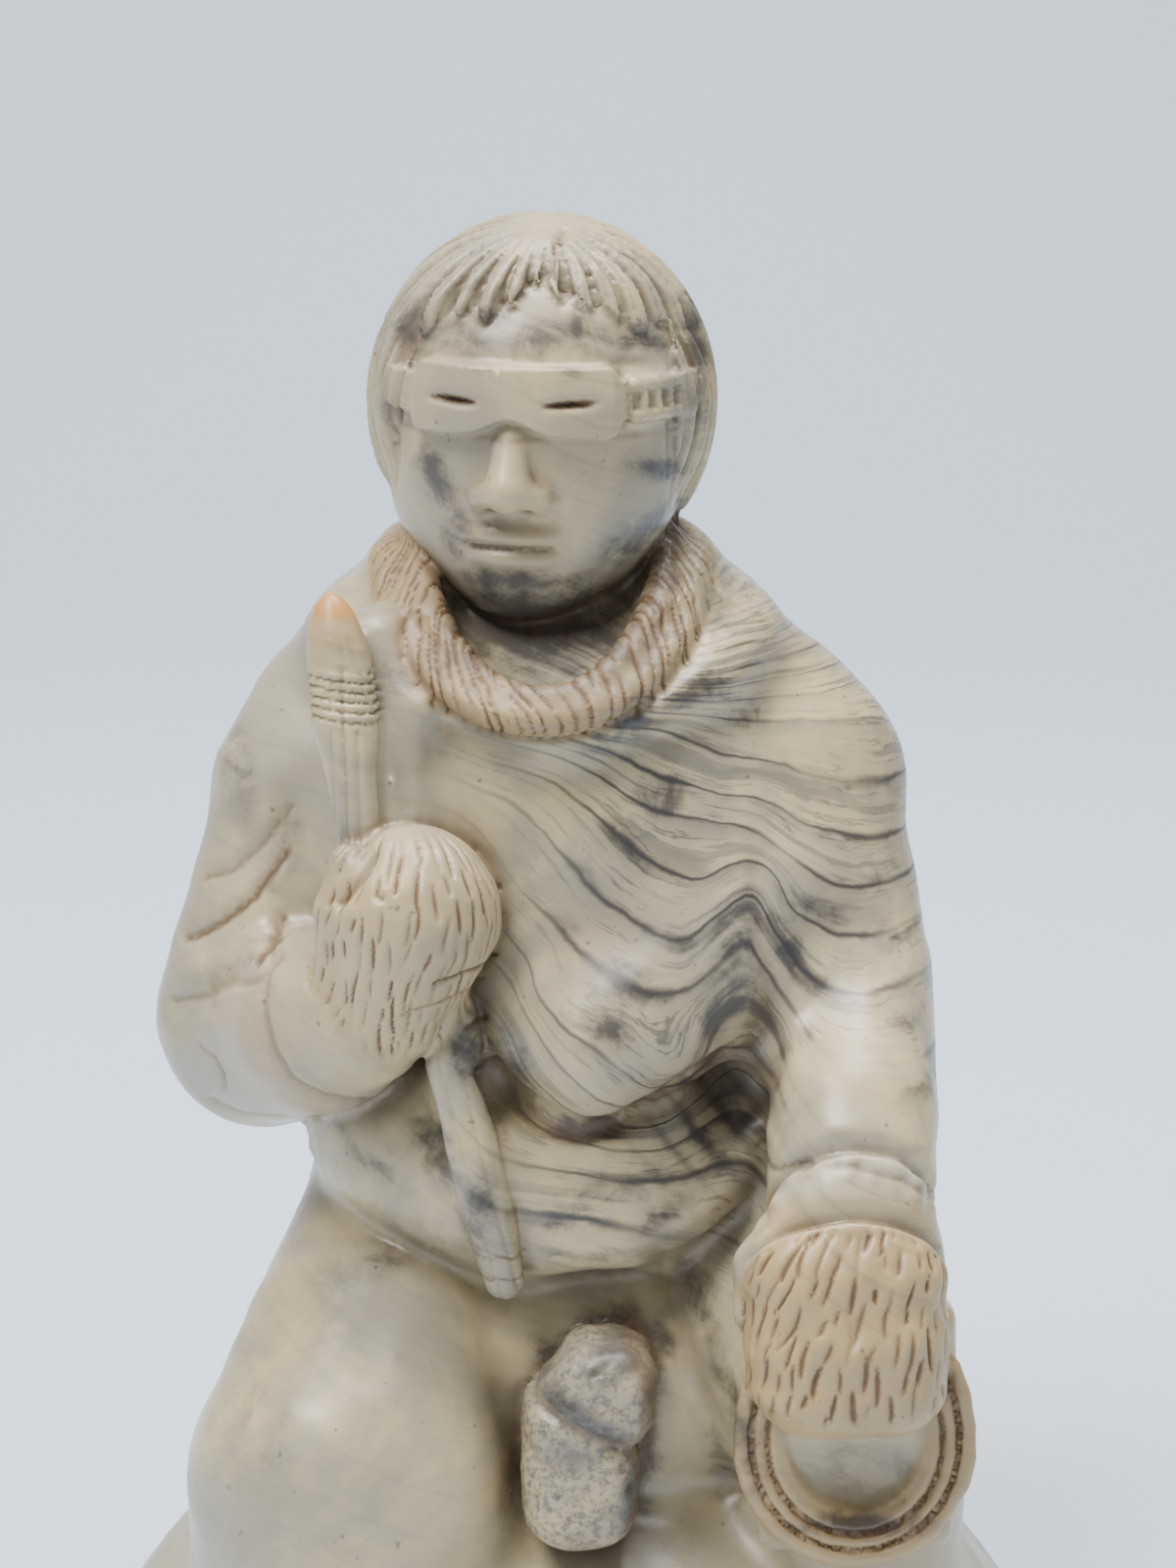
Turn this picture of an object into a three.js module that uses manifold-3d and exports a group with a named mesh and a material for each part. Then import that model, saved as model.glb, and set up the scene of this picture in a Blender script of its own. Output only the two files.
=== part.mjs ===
// A hunter in a parka, kneeling on a low mound, carved from one block of soapstone.
// Units are millimetres. +Z is up, the figure faces -Y, and the origin is at the middle of the underside.
// The block is described as a field of distances to its surface, below zero inside the stone: soft forms
// are melted together, cuts are carved away, and the surface is drawn on a grid and thinned where plain.
import * as THREE from "three";
import { edgeTable, triTable } from "three/addons/objects/MarchingCubes.js";
import { mergeVertices } from "three/addons/utils/BufferGeometryUtils.js";
import Module from "manifold-3d";

// ---- driving sizes ----
const HEIGHT = 239; // underside to the crown of the hair
const BASE_HALF_WIDTH = 80;
const BASE_HALF_DEPTH = 66;
const GRID_STEP = 1.25; // spacing of the drawing grid
const TRIANGLES = 9800; // left after thinning

const HEAD_CENTRE = [-4.5, -3, 207];
const HEAD_TURN = -9; // degrees about the upright, towards the figure's right hand
const HEAD_NOD = 5; // degrees, chin towards the chest
const HEAD_ROLL = 2;
const SKULL = [25, 27.5, 27]; // half width, depth and height
const LOCKS = 26; // locks of hair, counted round the crown
const NECK_X = -4; // middle of the neck opening

// ---- forms: each is a function (x, y, z) => distance ----
const rad = THREE.MathUtils.degToRad;
const clamp = THREE.MathUtils.clamp;
const bump = (t, width) => Math.exp(-((t / width) ** 2)); // 1 at t = 0, fading over the width

const ball = ([cx, cy, cz], [rx, ry, rz], turn = [0, 0, 0]) => {
  const m = new THREE.Matrix4().makeRotationFromEuler(new THREE.Euler(...turn.map(rad), "ZYX")).elements;
  return (x, y, z) => {
    const dx = x - cx;
    const dy = y - cy;
    const dz = z - cz;
    const u = (m[0] * dx + m[1] * dy + m[2] * dz) / rx;
    const v = (m[4] * dx + m[5] * dy + m[6] * dz) / ry;
    const w = (m[8] * dx + m[9] * dy + m[10] * dz) / rz;
    const near = Math.sqrt(u * u + v * v + w * w);
    const slope = Math.sqrt((u * u) / (rx * rx) + (v * v) / (ry * ry) + (w * w) / (rz * rz));
    return slope < 1e-9 ? -Math.min(rx, ry, rz) : (near * (near - 1)) / slope;
  };
};

// A limb runs through its joints, each [x, y, z, radius].
const limb = (...joints) => {
  const parts = joints.slice(1).map(([bx, by, bz, br], i) => {
    const [ax, ay, az, ar] = joints[i];
    const [ex, ey, ez] = [bx - ax, by - ay, bz - az];
    return { ax, ay, az, ar, ex, ey, ez, er: br - ar, square: ex * ex + ey * ey + ez * ez };
  });
  return (x, y, z) => {
    let least = Infinity;
    for (const p of parts) {
      const dx = x - p.ax;
      const dy = y - p.ay;
      const dz = z - p.az;
      const t = clamp((dx * p.ex + dy * p.ey + dz * p.ez) / p.square, 0, 1);
      const ux = dx - t * p.ex;
      const uy = dy - t * p.ey;
      const uz = dz - t * p.ez;
      const d = Math.sqrt(ux * ux + uy * uy + uz * uz) - p.ar - t * p.er;
      if (d < least) least = d;
    }
    return least;
  };
};

const meltTwo = (a, b, soft) => {
  const h = Math.max(soft - Math.abs(a - b), 0) / soft;
  return Math.min(a, b) - (h * h * soft) / 4;
};
const melt = (soft, first, ...rest) => (x, y, z) => {
  let d = first(x, y, z);
  for (const form of rest) d = meltTwo(d, form(x, y, z), soft);
  return d;
};
const carve = (soft, body, ...cuts) => (x, y, z) => {
  let d = body(x, y, z);
  for (const cut of cuts) d = -meltTwo(-d, cut(x, y, z), soft);
  return d;
};

// A crease runs where the sheet is zero, as deep and wide as given, and fades out away from its middle.
const crease = (form, sheet, depth, width, [mx, my, mz] = [0, 0, 0], reach = Infinity) => (x, y, z) => {
  const d = form(x, y, z);
  if (Math.abs(d) > 6) return d;
  const fade = clamp(2 - (2 * Math.hypot(x - mx, y - my, z - mz)) / reach, 0, 1);
  return d + depth * fade * bump(sheet(x, y, z), width);
};

// A box with rounded edges.
const loaf = ([cx, cy, cz], [hx, hy, hz], round) => (x, y, z) => {
  const u = Math.abs(x - cx) - hx + round;
  const v = Math.abs(y - cy) - hy + round;
  const w = Math.abs(z - cz) - hz + round;
  return Math.hypot(Math.max(u, 0), Math.max(v, 0), Math.max(w, 0)) + Math.min(Math.max(u, v, w), 0) - round;
};

// Flutes run along the lines where the phase is a multiple of PI.
const flutes = (form, phase, depth) => (x, y, z) => {
  const d = form(x, y, z);
  return Math.abs(d) > 4 ? d : d + depth * bump(Math.sin(phase(x, y, z)), 0.5);
};

// Far from a small form, the distance to the ball around it is near enough.
const SLACK = 12;
const around = ([cx, cy, cz], reach, form) => (x, y, z) => {
  const d = Math.hypot(x - cx, y - cy, z - cz) - reach;
  return d > SLACK ? d : form(x, y, z);
};

// A form modelled about the head's own middle, with its turn, nod and roll.
const onHead = (form) => {
  const m = new THREE.Matrix4()
    .makeRotationFromEuler(new THREE.Euler(rad(HEAD_NOD), rad(HEAD_ROLL), rad(HEAD_TURN), "ZYX")).elements;
  return (x, y, z) => {
    const dx = x - HEAD_CENTRE[0];
    const dy = y - HEAD_CENTRE[1];
    const dz = z - HEAD_CENTRE[2];
    return form(
      m[0] * dx + m[1] * dy + m[2] * dz,
      m[4] * dx + m[5] * dy + m[6] * dz,
      m[8] * dx + m[9] * dy + m[10] * dz,
    );
  };
};

// Both halves of a ring round the figure: joint(a) gives [across, y, z, radius], from a = 0 at the front
// to a = PI behind.
const halfRings = (middle, from, to, joint) => {
  const STEPS = 12;
  const half = (side) => {
    const joints = [];
    for (let i = 0; i <= STEPS; i++) {
      const [across, y, z, r] = joint(from + ((to - from) * i) / STEPS);
      joints.push([middle + side * across, y, z, r]);
    }
    return limb(...joints);
  };
  const left = half(1);
  const right = half(-1);
  return (x, y, z) => Math.min(left(x, y, z), right(x, y, z));
};

// A ring round the neck opening, rising from its front to its sides.
const neckRing = (halfWidth, halfDepth, low, rise, radius, from, to) => halfRings(NECK_X, from, to, (a) => [
  halfWidth * Math.sin(a),
  -6 - halfDepth * Math.cos(a),
  low + rise * (1 - Math.cos(Math.min(a, Math.PI / 2))),
  radius(a),
]);

// ---- head ----
const skull = ball([0, 2, 3], SKULL);
const face = melt(5, skull, ball([0, -5, -10], [21.5, 19.5, 18.5]), ball([0, -15, -19], [10, 8.5, 9]));
const nose = melt(2.5, limb([0, -24, 3, 2.4], [0, -28.4, -6, 3.4]), ball([-3.9, -25, -7.4], [2.8, 3.4, 2.5]),
  ball([3.9, -25, -7.4], [2.8, 3.4, 2.5]));
const lips = melt(1.2, ball([0, -22.8, -13.6], [7.5, 3.2, 2]), ball([0, -22.2, -17], [6.4, 3.4, 2.1]));

// The locks fall from the crown, over the ears and to a ragged fringe.
const HAIR_THICK = 2.4;
const CROWN = [1.5, -6];
const hairShell = ball([0, 2, 3], SKULL.map((r) => r + HAIR_THICK));
const hair = (x, y, z) => {
  const from = Math.atan2(x - CROWN[0], CROWN[1] - y);
  const away = Math.hypot(x - CROWN[0], y - CROWN[1]);
  const turn = (from * LOCKS) / 2 + 0.05 * away;
  const groove = 1.3 * bump(Math.sin(turn), 0.42) * clamp((away - 3) / 8, 0, 1);
  const tips = 1.6 * Math.abs(Math.sin(turn));
  const fringe = 24.5 - tips - 0.019 * x * x; // lower edge over the forehead
  const opening = Math.max(Math.abs(x) - 21.8 + 0.05 * Math.max(z, 0), z - fringe, y + 3);
  const nape = -16 - z;
  const feather = 1.4 * (1 - clamp(opening / 5, 0, 1)); // thinner towards the edge
  return Math.max(hairShell(x, y, z) + groove + feather, -opening, nape);
};

const gogglesShell = ball([0, 2, 3], [26.5, 29, 28.8]);
const goggles = (x, y, z) => {
  const side = Math.abs(Math.atan2(x, -y)); // 0 at the nose
  const mask = clamp((0.95 - side) / 0.2, 0, 1); // the wide part, then the strap
  const half = 3 + 2.2 * mask;
  const notch = 2.6 * bump(x, 4.5);
  return Math.max(gogglesShell(x, y, z) - 0.7 * mask, z - (6 + half), 6 - half + notch - z, y - 14);
};

const head = onHead(around([0, 0, 0], 36, melt(0.8, melt(1.5, face, nose, lips), hair, goggles)));

// ---- parka: shoulders, body, hood and ruff ----
const neck = limb([-4, 0, 190, 15], [-4, 4, 165, 17]);
const yoke = limb([-38.5, 4, 149.5, 16.5], [-36, 6, 159.5, 14.5], [-22, 8, 167, 12], [-4, 10, 176, 13],
  [15, 8, 168, 12.5], [30.5, 4.5, 160, 14.5], [35.5, 3, 151, 16]);
const chest = ball([-1, 0, 143], [43, 35, 38]);
const back = limb([-3, 14, 165, 19], [-2, 15, 140, 22], [-2, 13, 92, 24]);
// The parka's front hangs over the belt line, and rises to the left arm.
const paunch = limb([-9, -25, 124, 10], [-3, -29.5, 117.5, 12], [4, -31, 115, 13], [12, -30, 118, 13],
  [21, -26, 126, 12.5], [30, -19, 133, 11]);
const skirt = melt(8, ball([-2, -4, 94], [39.5, 36, 25]), ball([-2, 9, 80], [37.5, 30, 34]));
const hollow = ball([7, -44, 62], [19, 30, 17]); // under the hem, between the knees
const hem = limb([-38, -5, 95, 3], [-36.5, -11, 93.5, 3.2], [-28, -23, 90, 3.4], [-18, -31, 86, 3.6],
  [-3, -34.5, 83, 4], [9, -34.5, 83.3, 4], [17, -33, 87, 3.8], [24, -30, 92, 3.6], [30, -26, 99, 3]);

const backHem = halfRings(-2, 1.9, Math.PI, (a) => [34 * Math.sin(a), 6 - 29 * Math.cos(a), 66, 3.6]);

// The hood lies folded round the neck, and swells from its front ends to the nape.
const swell = (start) => (a) => 1 + 8 * Math.sin(Math.min(a - start, Math.PI / 2));
const hoodRim = neckRing(21.5, 33, 176, 7.5, swell(1.05), 1.05, Math.PI);
const hoodCape = neckRing(29.5, 31, 164.5, 9.5, swell(0.65), 0.65, Math.PI);
const ruffSeat = neckRing(20.5, 25.5, 163.5, 20.5, () => 4, 0, 2); // stone left behind the ruff
const ruffInner = neckRing(19.4, 29.8, 167.8, 22, () => 2.8, 0, 2);
const ruffOuter = neckRing(23.2, 31.5, 165.4, 20.5, () => 3, 0, 1.9);
const ruffPhase = (x, y, z) => 14 * Math.atan2(x - NECK_X, -6 - y) + 0.35 * z;
const ruff = flutes(melt(3, ruffInner, ruffOuter), ruffPhase, 0.7);

// ---- arms and mittens ----
const upperArmRight = limb([-38, 2, 146.5, 17.8], [-48, -5, 114, 17.6]);
const foldRight = (x, y, z) => z - 124.5 - 0.55 * (x + 50) + 0.1 * (y + 20); // inside the elbow
const sleeveRight = melt(4, limb([-48, -8, 112, 16.6], [-38, -27, 117, 14]),
  limb([-38, -27, 118, 14], [-32, -35, 120, 11.5]));
const foreArmRight = crease(sleeveRight, foldRight, 1.1, 1.8, [-52, -22, 122], 26);
const upperArmLeft = limb([33.5, 2, 148, 19.3], [43.8, -10, 121, 13.6], [43.2, -36, 104, 12.9]);

const palmRight = limb([-23.5, -40, 136, 13.8], [-27, -37.5, 123.5, 10.6]);
const thumbRight = limb([-33, -39.5, 126, 5.4], [-34, -42, 137, 5.4], [-32.8, -42.5, 144.5, 3.4]);
const furPhase = (x, y, z) => 0.95 * (x + 0.13 * z);
const mittenRight = around([-26, -40, 131], 24, flutes(melt(3, palmRight, thumbRight), furPhase, 0.6));

const fistLeft = loaf([41.5, -49.5, 78], [15.2, 12.5, 15], 9.5);
const palmLeft = melt(5, fistLeft, loaf([42, -52, 70], [13.8, 11, 10], 8.5));
const alongSleeve = (start) => (x, y, z) => 0.84 * (y + 46) + 0.54 * (z - 102.8) + start;
const cuffLeft = limb([43.2, -36, 104, 12.9], [42.9, -41, 99, 12.6], [42.4, -45, 91, 13]);
const thumbLeft = limb([28.6, -48, 84, 3.8], [28, -50, 77, 3.4]);
const sleeveEnd = crease(melt(3, cuffLeft, flutes(palmLeft, furPhase, 0.6)), alongSleeve(4.6), 1.7, 1);
const cuffEnd = crease(sleeveEnd, alongSleeve(13.5), 1.5, 1);
const handLeft = around([42, -46, 84], 36, melt(2, cuffEnd, thumbLeft));

// ---- harpoon: its head above the fist, its butt below, both carved against the parka ----
const harpoon = melt(2, ball([-33.8, -33.5, 169], [5, 4.2, 15], [-8, -7, 0]),
  limb([-33.4, -35, 164, 4], [-31, -39, 146, 3.2]),
  limb([-18.6, -37, 121, 4.6], [-12.2, -39.5, 90, 4.2], [-9.8, -38.5, 79, 3]));
// The front of the parka behind the harpoon.
const drape = limb([-30.5, -22, 174, 5.5], [-28.5, -27.5, 160, 6.5], [-28, -30.5, 146, 7]);

// ---- legs, and the rounded stone between the knees ----
const legRight = limb([-26.5, 2, 78.5, 16.5], [-30.5, -20, 61, 21.5], [-34, -33, 45.5, 25.3],
  [-37, -20, 18, 23]);
const legLeft = limb([30, -6, 84, 18], [37, -24, 64, 19], [45, -24, 44, 17.5], [43, -20, 22, 19.5]);
const lap = ball([6, -12, 56], [30, 22, 28]);
const boulderTop = loaf([5.8, -40.5, 63], [7.8, 10.5, 8], 6);
const boulder = melt(3, loaf([1.9, -40.5, 52], [9.2, 10.5, 14], 7.5), boulderTop);

// ---- rope coil: three turns held in the mitten ----
const coil = (() => {
  const STRAND = 1.35;
  const STEPS = 28;
  const turns = [];
  for (let turn = 0; turn < 3; turn++) {
    const inset = turn * 1.75 * STRAND;
    const joints = [];
    for (let i = 0; i <= STEPS; i++) {
      const a = (i / STEPS) * 2 * Math.PI;
      const x = 43.2 + (17 - inset) * Math.sin(a) * (1 + 0.1 * Math.cos(a));
      joints.push([x, -49.5 - 1.5 * Math.cos(a) + 0.2 * inset, 59.5 - (20.3 - inset) * Math.cos(a), STRAND]);
    }
    turns.push(limb(...joints));
  }
  return around([43.2, -50, 61.5], 24, melt(0.4, ...turns));
})();
const coilBack = melt(3, ball([43.2, -37, 62], [16.5, 10, 21]), loaf([43, -45, 58.8], [15.6, 5.2, 19.8], 4));

// ---- mound, with the boots lying on it behind ----
const boots = melt(3, limb([-30, 0, 30, 14], [-24, 34, 32, 13.5], [-23, 50, 24, 11.5]),
  limb([36, 0, 30, 14], [25, 34, 32, 13.5], [23, 50, 24, 11.5]));
const mound = melt(10, ball([0, 0, 0], [BASE_HALF_WIDTH - 4, BASE_HALF_DEPTH - 4, 46]),
  ball([0, 0, -2], [BASE_HALF_WIDTH, BASE_HALF_DEPTH, 14]));

// ---- the whole ----
const trunk = melt(5, melt(9, chest, back), upperArmRight, upperArmLeft);
const upper = melt(7, trunk, neck, yoke, hoodRim, hoodCape, ruffSeat);
const torso = melt(12, melt(6, upper, drape), paunch);
const clothes = melt(1.6, torso, melt(4, skirt, hem, backHem));
const webs = melt(1, limb([33, -9, 124, 9], [31, -14, 106, 11], [37, -28, 80, 8.5]),
  limb([-20, -29, 126, 5], [-15.5, -30, 106, 5])); // stone left inside the left arm and behind the shaft
const dressed = melt(3, carve(4, clothes, hollow), webs);
const seated = melt(3, dressed, melt(6, legRight, legLeft, lap, mound, coilBack, boots));
const armed = melt(2.5, seated, foreArmRight);
const hunter = melt(1, armed, ruff, mittenRight, handLeft, harpoon, boulder, coil, head);

// ---- drawing the surface ----
const SPARE = 2; // stone left below the underside, sawn off flat at the end
const LOW = [-BASE_HALF_WIDTH - 3, -BASE_HALF_DEPTH - 3, -SPARE - 3];
const HIGH = [BASE_HALF_WIDTH + 3, BASE_HALF_DEPTH + 3, HEIGHT + 3];

// Samples the field on a grid, in cubes of BLOCK cells, and skips the cubes that the surface can't reach.
function sample(field) {
  const BLOCK = 4;
  const counts = LOW.map((low, i) => Math.ceil((HIGH[i] - low) / GRID_STEP / BLOCK) * BLOCK + 1);
  const [nx, ny, nz] = counts;
  const values = new Float32Array(nx * ny * nz).fill(1);
  const reach = BLOCK * GRID_STEP * 1.5;
  const live = [];
  for (let k = 0; k + 1 < nz; k += BLOCK)
    for (let j = 0; j + 1 < ny; j += BLOCK)
      for (let i = 0; i + 1 < nx; i += BLOCK) {
        const half = BLOCK / 2;
        const middle = [i, j, k].map((n, axis) => LOW[axis] + (n + half) * GRID_STEP);
        if (Math.abs(field(...middle)) < reach) live.push([i, j, k]);
      }
  for (const [i0, j0, k0] of live)
    for (let k = k0; k <= k0 + BLOCK; k++)
      for (let j = j0; j <= j0 + BLOCK; j++)
        for (let i = i0; i <= i0 + BLOCK; i++) {
          const at = i + nx * (j + ny * k);
          if (values[at] !== 1) continue;
          const d = field(LOW[0] + i * GRID_STEP, LOW[1] + j * GRID_STEP, LOW[2] + k * GRID_STEP);
          const least = 0.02 * GRID_STEP; // keeps the surface off the grid's corners
          values[at] = Math.abs(d) < least ? (d < 0 ? -least : least) : d;
        }
  return { values, nx, ny, live, BLOCK };
}

function polygonise(field) {
  const { values, nx, ny, live, BLOCK } = sample(field);
  const corner = [[0, 0, 0], [1, 0, 0], [1, 1, 0], [0, 1, 0], [0, 0, 1], [1, 0, 1], [1, 1, 1], [0, 1, 1]];
  const ends = [0, 1, 2, 3];
  const edges = [
    ...ends.map((n) => [n, (n + 1) % 4]),
    ...ends.map((n) => [n + 4, ((n + 1) % 4) + 4]),
    ...ends.map((n) => [n, n + 4]),
  ];
  const points = [];
  const faces = [];
  const known = new Map();
  for (const [i0, j0, k0] of live)
    for (let k = k0; k < k0 + BLOCK; k++)
      for (let j = j0; j < j0 + BLOCK; j++)
        for (let i = i0; i < i0 + BLOCK; i++) {
          const at = corner.map(([a, b, c]) => i + a + nx * (j + b + ny * (k + c)));
          let kind = 0;
          for (let c = 0; c < 8; c++) if (values[at[c]] < 0) kind |= 1 << c;
          if (!edgeTable[kind]) continue;
          const made = edges.map(([a, b], e) => {
            if (!(edgeTable[kind] & (1 << e))) return -1;
            const along = corner[a].findIndex((n, axis) => n !== corner[b][axis]);
            const key = Math.min(at[a], at[b]) * 3 + along;
            if (known.has(key)) return known.get(key);
            const t = values[at[a]] / (values[at[a]] - values[at[b]]);
            const part = corner[a].map((n, axis) => n + t * (corner[b][axis] - n));
            points.push([i, j, k].map((n, axis) => LOW[axis] + (n + part[axis]) * GRID_STEP));
            known.set(key, points.length - 1);
            return points.length - 1;
          });
          for (let n = kind * 16; triTable[n] !== -1; n += 3)
            faces.push([made[triTable[n]], made[triTable[n + 2]], made[triTable[n + 1]]]);
        }
  return { points, faces };
}

// ---- thinning: the edge whose loss changes the shape least is closed first ----
const FLAT = 1e-4; // below this the planes round an edge meet in no single point
const EVENNESS = 1e-4; // makes short edges go first where the surface is plain
const MAX_TURN = 0.3; // the least cosine between a face before and after

function thin({ points, faces }, wanted) {
  const facesAt = points.map(() => new Set());
  faces.forEach((f, n) => f.forEach((v) => facesAt[v].add(n)));
  const normal = ([a, b, c], moved = -1, to = null) => {
    const [p, q, r] = [a, b, c].map((v) => (v === moved ? to : points[v]));
    const [ux, uy, uz] = [q[0] - p[0], q[1] - p[1], q[2] - p[2]];
    const [vx, vy, vz] = [r[0] - p[0], r[1] - p[1], r[2] - p[2]];
    return [uy * vz - uz * vy, uz * vx - ux * vz, ux * vy - uy * vx];
  };
  const form = points.map(() => new Float64Array(10));
  for (const f of faces) {
    const n = normal(f);
    const area = Math.hypot(...n) || 1e-12;
    const [a, b, c] = n.map((x) => x / area);
    const p = points[f[0]];
    const d = -(a * p[0] + b * p[1] + c * p[2]);
    const q = [a * a, a * b, a * c, a * d, b * b, b * c, b * d, c * c, c * d, d * d];
    for (const v of f) q.forEach((x, i) => (form[v][i] += x * area));
  }
  const error = (q, [x, y, z]) =>
    q[0] * x * x + 2 * q[1] * x * y + 2 * q[2] * x * z + 2 * q[3] * x + q[4] * y * y + 2 * q[5] * y * z +
    2 * q[6] * y + q[7] * z * z + 2 * q[8] * z + q[9];
  const neighbours = (v) => {
    const out = new Set();
    for (const n of facesAt[v]) for (const w of faces[n]) if (w !== v) out.add(w);
    return out;
  };
  const age = new Uint32Array(points.length);
  const heap = [];
  const push = (item) => {
    let i = heap.push(item) - 1;
    while (i > 0) {
      const up = (i - 1) >> 1;
      if (heap[up].cost <= item.cost) break;
      heap[i] = heap[up];
      i = up;
    }
    heap[i] = item;
  };
  const pop = () => {
    const top = heap[0];
    const last = heap.pop();
    if (!heap.length) return top;
    let i = 0;
    for (;;) {
      let down = 2 * i + 1;
      if (down >= heap.length) break;
      if (down + 1 < heap.length && heap[down + 1].cost < heap[down].cost) down++;
      if (heap[down].cost >= last.cost) break;
      heap[i] = heap[down];
      i = down;
    }
    heap[i] = last;
    return top;
  };
  const offer = (a, b) => {
    const q = form[a].map((x, i) => x + form[b][i]);
    const m = new THREE.Matrix3().set(q[0], q[1], q[2], q[1], q[4], q[5], q[2], q[5], q[7]);
    const mid = points[a].map((x, i) => (x + points[b][i]) / 2);
    const length = Math.hypot(...points[a].map((x, i) => x - points[b][i]));
    let best = mid;
    if (Math.abs(m.determinant()) > FLAT) {
      const v = new THREE.Vector3(-q[3], -q[6], -q[8]).applyMatrix3(m.invert());
      if (v.distanceTo(new THREE.Vector3(...mid)) < length) best = v.toArray();
    }
    const cost = Math.max(error(q, best), 0) + EVENNESS * length * length;
    push({ a, b, to: best, cost, stamp: age[a] + age[b] });
  };
  points.forEach((_, v) => neighbours(v).forEach((w) => w > v && offer(v, w)));
  let left = faces.length;
  while (left > wanted && heap.length) {
    const { a, b, to, stamp } = pop();
    if (stamp !== age[a] + age[b] || !facesAt[a].size || !facesAt[b].size) continue;
    const nb = neighbours(b);
    const shared = [...neighbours(a)].filter((v) => nb.has(v));
    if (shared.length !== 2) continue; // closing it would pinch the surface
    const turned = (v, other) => {
      for (const n of facesAt[v]) {
        if (faces[n].includes(other)) continue;
        const before = normal(faces[n]);
        const after = normal(faces[n], v, to);
        const dot = before[0] * after[0] + before[1] * after[1] + before[2] * after[2];
        if (dot < MAX_TURN * Math.hypot(...before) * Math.hypot(...after)) return true;
      }
      return false;
    };
    if (turned(a, b) || turned(b, a)) continue;
    for (const n of [...facesAt[b]]) {
      if (faces[n].includes(a)) {
        faces[n].forEach((v) => facesAt[v].delete(n));
        faces[n] = null;
        left--;
      } else {
        faces[n] = faces[n].map((v) => (v === b ? a : v));
        facesAt[a].add(n);
      }
    }
    facesAt[b].clear();
    points[a] = to;
    form[b].forEach((x, i) => (form[a][i] += x));
    age[a]++;
    age[b]++;
    for (const w of neighbours(a)) offer(Math.min(a, w), Math.max(a, w));
  }
  return { points, faces: faces.filter(Boolean) };
}

// ---- sawing the underside flat ----
const wasm = await Module();
wasm.setup();

const solidFrom = (vertProperties, triVerts) =>
  new wasm.Manifold(new wasm.Mesh({ numProp: 3, vertProperties, triVerts }));

function saw({ points, faces }) {
  const block = solidFrom(new Float32Array(points.flat()), new Uint32Array(faces.flat()));
  const slab = new THREE.BoxGeometry(4 * BASE_HALF_WIDTH, 4 * BASE_HALF_DEPTH, 20).translate(0, 0, -10);
  slab.deleteAttribute("normal");
  slab.deleteAttribute("uv");
  const below = mergeVertices(slab, 1e-4);
  const cut = block.subtract(solidFrom(below.attributes.position.array, new Uint32Array(below.index.array)));
  const { vertProperties, triVerts } = cut.getMesh();
  const geometry = new THREE.BufferGeometry()
    .setAttribute("position", new THREE.BufferAttribute(vertProperties, 3))
    .setIndex(new THREE.BufferAttribute(triVerts, 1));
  geometry.computeVertexNormals();
  return geometry;
}

const soapstone = new THREE.MeshStandardMaterial({ color: 0xc9bda6, roughness: 0.4, metalness: 0 });

const block = (x, y, z) => Math.max(hunter(x, y, z), -SPARE - z);
const sculpture = new THREE.Mesh(saw(thin(polygonise(block), TRIANGLES)), soapstone);
sculpture.name = "hunter";

const group = new THREE.Group();
group.add(sculpture);

export default group;
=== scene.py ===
# A hunter in a parka, kneeling on a low mound, carved from one block of cream soapstone with dark veins.
# The carving's forms are worked out in millimetres, +Z up, facing -Y, and turned to metres at the end.
import math

import bpy
import numpy as np
from mathutils import Euler, Matrix, Vector


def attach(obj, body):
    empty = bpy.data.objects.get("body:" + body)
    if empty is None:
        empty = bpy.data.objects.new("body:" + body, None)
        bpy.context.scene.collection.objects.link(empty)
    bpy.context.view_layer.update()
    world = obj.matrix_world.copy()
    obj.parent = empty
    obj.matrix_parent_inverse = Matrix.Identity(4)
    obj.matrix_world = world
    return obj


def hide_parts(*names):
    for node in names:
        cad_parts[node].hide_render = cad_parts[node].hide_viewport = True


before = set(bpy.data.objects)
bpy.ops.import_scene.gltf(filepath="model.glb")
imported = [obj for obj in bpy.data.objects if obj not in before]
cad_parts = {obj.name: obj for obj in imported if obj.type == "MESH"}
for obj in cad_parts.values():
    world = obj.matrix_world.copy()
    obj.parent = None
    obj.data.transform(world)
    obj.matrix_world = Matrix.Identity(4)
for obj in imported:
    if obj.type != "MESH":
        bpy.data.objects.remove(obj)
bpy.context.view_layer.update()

MM = 0.001

# ---- driving sizes of the carving ----
HEAD_CENTRE = (-4.5, -3, 207)
HEAD_TURN = -9  # degrees about the upright, towards the figure's right hand
HEAD_NOD = 5  # degrees, chin towards the chest
HEAD_ROLL = 2
SKULL = (25, 27.5, 27)  # half width, depth and height
LOCKS = 23  # locks of hair, counted round the crown
NECK_X = -4  # middle of the neck opening
BASE_HALF_WIDTH = 80
BASE_HALF_DEPTH = 66
SLACK = 12  # farther than this from a small form, its distance may be rough


# ---- forms: each is a function of (x, y, z) arrays that gives the distance to its surface ----
TINY = 1e-9
FAR = 1e9
CREASE_REACH = 6  # farther than this from the surface, a crease is left out


def clamp(value, low, high):
    return np.minimum(np.maximum(value, low), high)


def bump(t, width):
    """1 at t = 0, fading over the width."""
    return np.exp(-((t / width) ** 2))


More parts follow.
